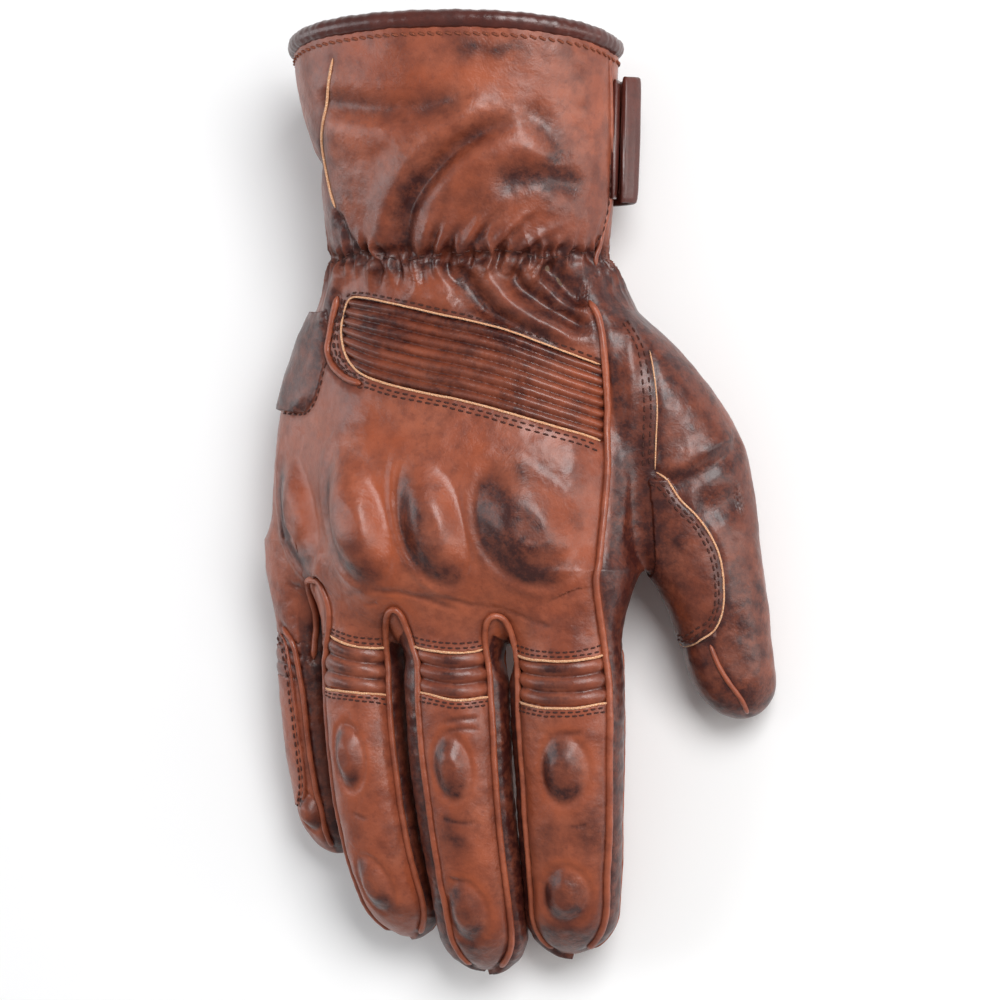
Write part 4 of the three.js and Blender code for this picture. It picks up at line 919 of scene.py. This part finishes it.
class Nodes:
    """A material and short ways to add nodes to it."""

    def __init__(self, name):
        self.material = bpy.data.materials.new(name)
        self.material.use_nodes = True
        self.tree = self.material.node_tree
        self.shader = self.tree.nodes["Principled BSDF"]
        self.place = self.tree.nodes.new("ShaderNodeTexCoord").outputs["Object"]

    def link(self, value, socket):
        if isinstance(value, bpy.types.NodeSocket):
            self.tree.links.new(value, socket)
        else:
            socket.default_value = value

    def noise(self, scale, detail=4, rough=0.5, distortion=0.0):
        node = self.tree.nodes.new("ShaderNodeTexNoise")
        self.link(self.place, node.inputs["Vector"])
        node.inputs["Scale"].default_value = scale
        node.inputs["Detail"].default_value = detail
        node.inputs["Roughness"].default_value = rough
        node.inputs["Distortion"].default_value = distortion
        return node.outputs["Fac"]

    def cells(self, scale):
        node = self.tree.nodes.new("ShaderNodeTexVoronoi")
        node.feature = "DISTANCE_TO_EDGE"
        self.link(self.place, node.inputs["Vector"])
        node.inputs["Scale"].default_value = scale
        return node.outputs["Distance"]

    def attribute(self, name):
        node = self.tree.nodes.new("ShaderNodeAttribute")
        node.attribute_name = name
        return node.outputs["Fac"]

    def span(self, value, low, high, to_low=0.0, to_high=1.0):
        node = self.tree.nodes.new("ShaderNodeMapRange")
        node.interpolation_type = "SMOOTHSTEP"
        for socket, v in zip(node.inputs, (value, low, high, to_low, to_high)):
            self.link(v, socket)
        return node.outputs[0]

    def math(self, operation, a, b):
        node = self.tree.nodes.new("ShaderNodeMath")
        node.operation = operation
        self.link(a, node.inputs[0])
        self.link(b, node.inputs[1])
        return node.outputs[0]

    def mix(self, share, a, b):
        node = self.tree.nodes.new("ShaderNodeMix")
        node.data_type = "RGBA"
        for socket, v in ((node.inputs[0], share), (node.inputs[6], a), (node.inputs[7], b)):
            self.link(v, socket)
        return node.outputs[2]

    def bump(self, height, strength, distance, before=None):
        node = self.tree.nodes.new("ShaderNodeBump")
        node.inputs["Strength"].default_value = strength
        node.inputs["Distance"].default_value = distance
        self.link(height, node.inputs["Height"])
        if before is not None:
            self.link(before, node.inputs["Normal"])
        return node.outputs["Normal"]

    def set(self, **values):
        for name, value in values.items():
            self.link(value, self.shader.inputs[name.replace("_", " ")])
        return self.material


def leather(name, light, mid, deep, rough=0.4, coat=0.2, use_tone=True):
    """Waxed, burnished leather: cloudy colour, darker where it was rubbed and where shade is painted in,
    with pores and fine creases.
    """
    n = Nodes(name)
    cloud = n.span(n.noise(38, 6, 0.6, 0.6), 0.36, 0.66)
    mottle = n.span(n.noise(170, 5, 0.65), 0.38, 0.7)
    fleck = n.span(n.noise(620, 3, 0.6), 0.52, 0.78)
    colour = n.mix(n.math("MULTIPLY", cloud, 0.75), mid, light)
    colour = n.mix(n.math("MULTIPLY", mottle, 0.5), colour, deep)
    colour = n.mix(n.math("MULTIPLY", fleck, 0.35), colour, deep)
    if use_tone:
        colour = n.mix(n.math("MULTIPLY", n.attribute("warm"), 0.75), colour, rgb(158, 74, 38))
        # The dark attribute holds burnish and painted shade together; both mix towards deep brown, with a
        # mottled strength.
        burnish_and_shade_mottle = n.span(n.noise(260, 5, 0.75), 0.32, 0.7, 0.6, 1.15)
        colour = n.mix(n.math("MULTIPLY", n.attribute("dark"), burnish_and_shade_mottle), colour, rgb(56, 20, 16))
    grain = n.math("ADD", n.math("MULTIPLY", n.noise(900, 5, 0.6), 0.6),
                   n.math("MULTIPLY", n.cells(750), 0.5))
    normal = n.bump(grain, 0.32, 0.00035)
    normal = n.bump(n.noise(210, 5, 0.6, 0.8), 0.25, 0.0012, normal)
    gloss = n.span(n.noise(120, 4, 0.6), 0.3, 0.75, rough - 0.06, rough + 0.12)
    return n.set(Base_Color=colour, Roughness=gloss, Normal=normal, Coat_Weight=coat, Coat_Roughness=0.2,
                 Specular_IOR_Level=0.4)


LEATHER = leather("burnished_leather", rgb(160, 88, 62), rgb(138, 68, 44), rgb(82, 34, 25))
DARK_LEATHER = leather("dark_leather", rgb(104, 48, 36), rgb(84, 36, 28), rgb(48, 20, 17), 0.34, 0.35)
WELT_LEATHER = leather("welt_leather", rgb(164, 88, 60), rgb(144, 72, 46), rgb(92, 40, 28), 0.4, 0.2, False)


def cloth(name, light, dark, scale, rough, sheen=0.4):
    """A plain cloth, fleece or thread with a small weave."""
    n = Nodes(name)
    weave = n.math("ADD", n.cells(scale), n.math("MULTIPLY", n.noise(scale * 1.3, 3, 0.6), 0.7))
    colour = n.mix(n.span(weave, 0.2, 0.9), dark, light)
    normal = n.bump(weave, 0.6, 0.0006)
    return n.set(Base_Color=colour, Roughness=rough, Normal=normal, Sheen_Weight=sheen)


RAW_EDGE = cloth("raw_edge", rgb(240, 198, 158), rgb(196, 132, 92), 1500, 0.75, 0.1)
THREAD = cloth("thread", rgb(96, 42, 26), rgb(44, 16, 10), 2600, 0.7, 0)
LIGHT_THREAD = cloth("light_thread", rgb(166, 90, 56), rgb(96, 40, 24), 2600, 0.7, 0)
LINING = cloth("lining_cloth", rgb(120, 92, 72), rgb(84, 62, 48), 800, 0.9)
HOOKS = cloth("hook_and_loop", rgb(40, 32, 30), rgb(18, 14, 14), 900, 0.85)


# ---- making objects ------------------------------------------------------------------------------------
def make(name, points, faces, material, normals_at=None):
    """A mesh object from points in millimetres. A face that repeats its last point is a triangle."""
    points = np.asarray(points, float)
    mesh = bpy.data.meshes.new(name)
    corners = [[face[0], face[1], face[2]] if len(face) == 4 and face[2] == face[3] else list(face)
               for face in np.asarray(faces).tolist()]
    mesh.from_pydata(to_frame(points).tolist(), [], corners)
    mesh.materials.append(material)
    mesh.polygons.foreach_set("use_smooth", np.ones(len(mesh.polygons), bool))
    if normals_at is not None:
        mesh.normals_split_custom_set_from_vertices(normals_at.tolist())
    piece = bpy.data.objects.new(name, mesh)
    bpy.context.scene.collection.objects.link(piece)
    return piece


def tone(piece, **values):
    for name, value in values.items():
        piece.data.attributes.new(name, "FLOAT", "POINT").data.foreach_set("value",
                                                                           value.astype(np.float32))


for name in sorted(set(panel) - {""}):
    mine = quads[panel == name]
    used, index = np.unique(mine, return_inverse=True)
    piece = make(name + "_leather" if name in frame["nodes"] else name, skin[used], index.reshape(-1, 4),
                 LEATHER,
                 skin_normals[used])
    tone(piece, dark=dark[used], warm=warm[used])
    place(piece, ZONE_NAMES[np.bincount(zone[panel == name]).argmax()])
    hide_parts(*STANDS_FOR.get(name, []))

surface = BVHTree.FromPolygons(skin.tolist(), [q[:3] if q[2] == q[3] else q for q in quads.tolist()])


def snap(points):
    """The nearest points on the skin, their normals, and the zone of each."""
    found = [surface.find_nearest(Vector(p)) for p in points]
    at = np.array([f[0] for f in found])
    faces = np.array([f[2] for f in found])
    facing = skin_normals[quads[faces]].mean(1)
    return at, unit(facing), zone[faces]


def along(points):
    """The direction of a path at each of its points."""
    return unit(np.gradient(points, axis=0))


def evened(points, rounds):
    """The points with small wiggles taken out. The two ends stay."""
    points = points.copy()
    for _ in range(rounds):
        points[1:-1] = (points[:-2] + 2 * points[1:-1] + points[2:]) / 4
    return points


def beside(path, shift):
    """The path moved sideways on the skin. Positive is to the right of its direction, seen from outside."""
    at, facing, _ = snap(path)
    facing = evened(facing, 20)
    sideways = unit(np.cross(along(evened(at, 20)), facing))
    return spline(evened(at + shift * sideways, 12), 0.7)


def tube_faces(rings, sides, flip=False, closed=False):
    """The quads between rings of points. A closed tube joins its last ring to its first."""
    ring = np.arange(rings if closed else rings - 1)[:, None]
    a, b = np.arange(sides)[None], (np.arange(sides)[None] + 1) % sides
    here, there = ring * sides, (ring + 1) % rings * sides
    quad = np.stack([here + a, there + a, there + b, here + b], 2).reshape(-1, 4)
    return quad[:, [0, 3, 2, 1]] if flip else quad


def cap(first, sides, flip=False):
    """The triangles that close the ring of points that begins at first."""
    near_step, far_step = (0, 1) if flip else (1, 0)
    return [[first, first + k + near_step, first + k + far_step, first + k + far_step]
            for k in range(1, sides - 1)]


class Batch:
    """Collects small parts of one kind and zone into one mesh."""

    def __init__(self):
        self.points, self.faces, self.count = [], [], 0

    def add(self, points, faces):
        self.points.append(points)
        self.faces.append(np.asarray(faces) + self.count)
        self.count += len(points)


batches = {}


def batch(zone_name, kind):
    return batches.setdefault((zone_name, kind), Batch())


def tube(path, facing, wide, high, sides, sink):
    """Rings of points round a path, pinched shut at both ends."""
    sideways = unit(np.cross(along(path), facing))
    turn = 2 * np.pi * np.arange(sides) / sides
    ends = np.minimum(np.arange(len(path)), np.arange(len(path))[::-1])
    size = np.sqrt(np.clip(0.05 + ends / 2.5, 0, 1))[:, None, None]
    wobble = 1 + 0.03 * np.sin(0.9 * np.arange(len(path)) + path[:, 0])[:, None, None]
    ring = wide * np.cos(turn)[None, :, None] * sideways[:, None]
    ring = ring + high * np.sin(turn)[None, :, None] * facing[:, None]
    return path[:, None] + size * wobble * ring - sink * facing[:, None]


def lay(kind, path, wide, high, sink, sides=8):
    """A round or flat strip along a path on the skin, cut where it leaves one zone for the next."""
    at, facing, where = snap(path)
    rings = tube(evened(at, 7), evened(facing, 12), wide, high, sides, sink)
    cuts = [0, *(np.flatnonzero(np.diff(where)) + 1), len(where) - 1]
    for start, end in zip(cuts, cuts[1:]):
        if end <= start:
            continue
        piece = rings[start:end + 1]
        batch(ZONE_NAMES[where[start]], kind).add(piece.reshape(-1, 3), tube_faces(len(piece), sides))


STITCH_SIDES = 6
stitch_turn = 2 * np.pi * np.arange(STITCH_SIDES) / STITCH_SIDES
# A stitch's rings: place along it, size and height.
STITCH_RINGS = [(-1, 0.3, -0.5), (-0.75, 0.9, 0), (-0.25, 1, 0.35), (0.25, 1, 0.35), (0.75, 0.9, 0),
                (1, 0.3, -0.5)]
STITCH_FACES = [*tube_faces(len(STITCH_RINGS), STITCH_SIDES).tolist(), *cap(0, STITCH_SIDES, flip=True),
                *cap((len(STITCH_RINGS) - 1) * STITCH_SIDES, STITCH_SIDES)]


def stitch(kind, path, spacing, length, radius, slant=0.0):
    """A row of stitches along a path on the skin."""
    run = np.concatenate([[0], np.cumsum(np.linalg.norm(np.diff(path, axis=0), axis=1))])
    where = np.arange(spacing / 2, run[-1] - spacing / 3, spacing)
    if len(where) < 2:
        return
    at, facing, zones = snap(np.stack([np.interp(where, run, path[:, k]) for k in range(3)], 1))
    sew(kind, at, facing, [ZONE_NAMES[k] for k in zones], length, radius, slant)


def sew(kind, at, facing, zones, length, radius, slant=0.0):
    """One stitch at each point, lying along the row that the points make."""
    for point, up, forward, zone_name in zip(at, facing, along(at), zones):
        sideways = np.cross(forward, up)
        forward = forward * math.cos(slant) + sideways * math.sin(slant)
        sideways = np.cross(forward, up)
        rings = [point + forward * t * length / 2 + up * (0.05 + rise * radius)
                 + size * radius * (np.cos(stitch_turn)[:, None] * sideways + np.sin(stitch_turn)[:, None]
                                    * up)
                 for t, size, rise in STITCH_RINGS]
        batch(zone_name, kind).add(np.concatenate(rings), STITCH_FACES)


WELT_SIZES = {"right": (1.05, 1.2), "fork_little": (0.95, 1.1), "fork_ring": (0.95, 1.1),
              "fork_middle": (0.95, 1.1),
              "little": (0.8, 0.9), "edge": (1.0, 1.0)}
for name, path in welts.items():
    wide, high = WELT_SIZES[name]
    lay("welt", path, wide, high, sink=-0.3)

for line, wide, high in ((CUFF_SEAM[:5], 0.45, 0.4), (FLEX_UPPER, 0.3, 0.35), (FLEX_LOWER, 0.34, 0.4),
                         (THUMB_SEAM[2:], 0.22, 0.3), (THUMB_PATCH, 0.3, 0.35)):
    lay("raw_edge", spline(line), wide, high, sink=-0.15, sides=6)
for name in ("ring", "middle", "index"):
    upper, lower = (spline(line) for line in STRIPS[name])
    lay("raw_edge", upper, 0.38, 0.45, sink=-0.2, sides=6)
    lay("raw_edge", lower, 0.38, 0.45, sink=-0.2, sides=6)
    for path, shifts in ((upper, (-1.4, -3.0)), (lower, (1.2, 2.6))):
        for shift in shifts:
            stitch("thread", beside(path, shift), 2.2, 1.5, 0.26)
for line, shifts in ((FLEX_LOWER, (1.7, 3.4)), (FLEX_UPPER, (-1.4,)), (THUMB_SEAM, (1.7, 3.5)),
                     (THUMB_PATCH, (1.7, 3.4)),
                     (LITTLE_PATCH, (0.4, 1.9)), (EDGE_PATCH, (-1.2,)), (CUFF_SIDE[2:6], (1.3,))):
    for shift in shifts:
        stitch("thread", beside(spline(line), shift), 2.5, 1.7, 0.28)
for shift in (-2.2, -3.8):
    stitch("thread", beside(welts["edge"], shift), 2.5, 1.7, 0.26)
lay("fold", spline(CUFF_SIDE[:6]), 0.8, 0.8, sink=0.1)
lay("fold", spline(LITTLE_PATCH), 0.5, 0.5, sink=0.1)
lay("fold", spline(THUMB_TIP), 0.8, 0.9, sink=0.1)


def underneath(outline):
    """Points on the palm side of the skin below places given in plan."""
    hits = [surface.ray_cast(Vector((px, py, -60)), Vector((0, 0, 1)))[0] for px, py in outline]
    return [tuple(hit) for hit in hits if hit is not None]


for shift in (0.0, 1.8):
    stitch("thread", beside(spline(underneath(heel_path[::5, :2])), 1.6 + shift), 2.8, 1.9, 0.3)
for name in FINGERS:
    start = FINGER_ZONES[name][0][1] + 8
    for degrees in (-32, 212):
        lay("fold", spline(leg(name, degrees, start)), 0.55, 0.7, sink=0.1, sides=6)
for name, degrees, shift in (("index", -32, -1.6), ("little", 212, 1.6)):
    stitch("thread", beside(spline(leg(name, degrees, FINGER_ZONES[name][0][1] + 8)), shift), 2.8, 1.9,
           0.26)
angles = np.arange(0, 361, 5.0)
under_binding = section_point(cuff_track, CUFF_POWER, cuff_top(angles) - 2.9, angles)
stitch("light_thread", spline(under_binding), 2.6, 2.3, 0.42, slant=0.35)
elastic = section_point(cuff_track, CUFF_POWER, ELASTIC_Y + 0.8 * np.sin(angles / 9), angles)
stitch("thread", spline(elastic), 2.8, 1.9, 0.28)


def over_cuff(where, degrees, off):
    """A point over the cuff at a height along it and an angle round it."""
    return section_point(cuff_track, CUFF_POWER, where, degrees, off)[0]


def strap_lift(a):
    """How far the strap stands off the cuff at an angle: it bulges out beside its root."""
    return 2.5 + 2.8 * smooth(-60, -14, a) - 3.6 * smooth(-11, -4, a)


STRAP_THICK = 1.5
strap_turns = np.arange(-24, -112, -3)
for where in (84, 115):
    top = strap_lift(strap_turns) + STRAP_THICK
    at = section_point(cuff_track, CUFF_POWER, where, strap_turns, top)
    out = section_point(cuff_track, CUFF_POWER, where, strap_turns, top + 1) - at
    sew("thread", at, unit(out), ["strap"] * len(at), 1.7, 0.3)

KINDS = {  # kind: its material and slot
    "welt": (WELT_LEATHER, "outer_leather"), "raw_edge": (RAW_EDGE, "outer_leather"),
    "fold": (LEATHER, "outer_leather"), "thread": (THREAD, None), "light_thread": (LIGHT_THREAD, None),
}
for (zone_name, kind), made in batches.items():
    material, slot = KINDS[kind]
    piece = make(f"{zone_name}_{kind}", np.concatenate(made.points), np.concatenate(made.faces), material)
    place(piece, zone_name)


# ---- lining, binding, strap ------------------------------------------------------------------------------
LINING_POINTS = 72
lining_angles = 360 * np.arange(LINING_POINTS) / LINING_POINTS
CUFF_INSET, HAND_INSET = 2.8, 4.4  # how far the lining lies inside the skin


def lining_ring(where, inset):
    """A closed ring inside the glove, that far in from its skin."""
    mean = where.mean()
    hand_y, cuff_y = min(mean, 74), max(mean, 66)
    cx, _, _, _, drop = hand_track(np.array([hand_y]))
    palm = section_point(hand_track, HAND_POWER, hand_y, lining_angles, -inset)
    palm[:, 2] -= drop * smooth(ARCH_FROM, ARCH_TO, cx - palm[:, 0])
    gauntlet = section_point(cuff_track, CUFF_POWER, cuff_y, lining_angles, -inset)
    share = smooth(60, 72, mean)
    ring = palm * (1 - share) + gauntlet * share
    ring[:, 1] = where
    return ring


def lining(name, zone_name, rings, nodes):
    """A tube of lining cloth through the rings."""
    faces = tube_faces(len(rings), LINING_POINTS, flip=True)
    piece = make(name, np.concatenate(rings), faces, LINING)
    place(piece, zone_name)
    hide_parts(*nodes)


cuff_rings = [lining_ring((cuff_top(lining_angles) + 0.6) * (1 - t) + WRIST_TO * t, CUFF_INSET)
              for t in np.linspace(0, 1, 14)]
wrist_rings = [lining_ring(np.full(LINING_POINTS, stop), CUFF_INSET if stop == WRIST_TO else HAND_INSET)
               for stop in np.linspace(WRIST_TO, WRIST_FROM, 10)]
hand_rings = [lining_ring(np.full(LINING_POINTS, stop), HAND_INSET)
              for stop in np.linspace(WRIST_FROM, -16, 20)]
last_ring = hand_rings[-1]
hand_rings += [last_ring.mean(0) + (last_ring - last_ring.mean(0)) * [s, 1, s] for s in (0.7, 0.35, 0.02)]
lining("cuff_lining_cloth", "cuff", cuff_rings, ["cuff_lining"])
lining("wrist_lining_cloth", "wrist", wrist_rings, [])
lining("hand_lining_cloth", "hand", hand_rings, ["hand_lining"])

BINDING_SIDES = 14
binding_turn = 2 * np.pi * np.arange(BINDING_SIDES) / BINDING_SIDES
binding_angles = np.arange(0, 360, 1.25)
rings = []
for k, a in enumerate(binding_angles):
    out = over_cuff(cuff_top(a) + 1.2, a, 0)
    cx, cz, _, _ = cuff_track(out[1:2])
    outward = unit(np.array([out[0] - cx[0], 0, out[2] - cz[0]]))
    crease = 1 + 0.035 * math.sin(k * 1.7) + 0.03 * math.sin(k * 0.61)
    rings.append(out - 0.8 * outward + 2.35 * crease * (
        np.cos(binding_turn)[:, None] * outward + 1.1 * np.sin(binding_turn)[:, None]
        * np.array([0, 1, 0])))
faces = tube_faces(len(rings), BINDING_SIDES, flip=True, closed=True)
binding = make("cuff_binding_roll", np.concatenate(rings), faces, DARK_LEATHER)
tone(binding, dark=np.full(len(binding.data.vertices), 0.55), warm=np.zeros(len(binding.data.vertices)))
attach(binding, "cuff")
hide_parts("cuff_binding")


def band(name, degrees, low, high, lift, thick, material, body, nodes):
    """A flat band round the cuff, between two heights, with rounded edges."""
    profile = []
    for k in range(16):
        t = 2 * math.pi * k / 16
        profile.append((np.sign(math.cos(t)) * abs(math.cos(t)) ** 0.25,
                        np.sign(math.sin(t)) * abs(math.sin(t)) ** 0.6))
    middle, half = (low + high) / 2, (high - low) / 2
    points = np.array([over_cuff(middle + side * half, a, lift(a) + (1 + rise) * thick / 2)
                       for a in degrees for side, rise in profile])
    sides = len(profile)
    last = (len(degrees) - 1) * sides
    faces = tube_faces(len(degrees), sides, flip=True).tolist()
    faces += cap(0, sides) + cap(last, sides, flip=True)
    piece = make(name, points, faces, material)
    if material is DARK_LEATHER:
        tone(piece, dark=np.full(len(points), 0.35), warm=np.zeros(len(points)))
    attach(piece, body)
    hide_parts(*nodes)


band("closing_strap", np.arange(-4, -119, -2), 82, 117, strap_lift, STRAP_THICK, DARK_LEATHER, "strap",
     ["strap"])
band("strap_hook_tape", np.arange(-78, -115, -3.0), 86, 113, lambda a: 1.5, 0.9, HOOKS, "strap",
     ["strap_hook_patch"])
band("cuff_loop_tape", np.arange(-70, -141, -3.0), 84, 115, lambda a: 0.2, 1.1, HOOKS, "cuff",
     ["cuff_loop_patch"])
band("strap_root_tab", np.arange(2, -6, -1.5), 83, 116, lambda a: 0.1, 1.2, DARK_LEATHER, "cuff", [])

# ---- floor, lights and camera ----------------------------------------------------------------------------
bpy.ops.mesh.primitive_grid_add(size=6, x_subdivisions=2, y_subdivisions=2, location=(0, 0, 0))
floor = bpy.context.object
floor.name = "floor"
ground = Nodes("pale_floor")
shade = ground.mix(ground.noise(3, 2), (0.9, 0.9, 0.905, 1), (0.93, 0.93, 0.93, 1))
floor.data.materials.append(ground.set(Base_Color=shade, Roughness=0.9, Specular_IOR_Level=0.1))

world = bpy.data.worlds.new("studio")
bpy.context.scene.world = world
world.use_nodes = True
world.node_tree.nodes["Background"].inputs["Color"].default_value = (1, 1, 1, 1)
world.node_tree.nodes["Background"].inputs["Strength"].default_value = 0.34


def softbox(name, place_at, width, depth, power, colour=(1, 1, 1)):
    light = bpy.data.lights.new(name, "AREA")
    light.shape = "RECTANGLE"
    light.size, light.size_y = width, depth
    light.energy = power
    light.color = colour
    lamp = bpy.data.objects.new(name, light)
    lamp.location = place_at
    lamp.rotation_euler = (Vector((0, 0, 0.03)) - Vector(place_at)).to_track_quat("-Z", "Y").to_euler()
    bpy.context.scene.collection.objects.link(lamp)


softbox("key", (0.6, 0.5, 1.05), 0.75, 0.55, 14.5)
softbox("left_wall", (-1.1, 0.1, 0.5), 0.5, 1.4, 6.5, (0.95, 0.97, 1))
softbox("right_wall", (1.15, -0.1, 0.5), 0.4, 1.3, 6, (1, 0.98, 0.95))

VIEW_LEAN = math.radians(18)
TARGET = np.array([-0.84, -0.7, 30.0])
toward = np.array([math.sin(VIEW_LEAN), 0, math.cos(VIEW_LEAN)])
DISTANCE, FIELD = 1400.0, 280.0  # mm from the glove, and the width seen there
camera_data = bpy.data.cameras.new("camera")
camera_data.sensor_width = 36
camera_data.lens = 36 * DISTANCE / FIELD
camera_data.clip_end = 20
camera = bpy.data.objects.new("camera", camera_data)
camera.location = to_frame(TARGET + DISTANCE * toward)
camera.rotation_euler = (0, VIEW_LEAN, 0)
bpy.context.scene.collection.objects.link(camera)
bpy.context.scene.camera = camera
bpy.context.scene.view_settings.view_transform = "Standard"
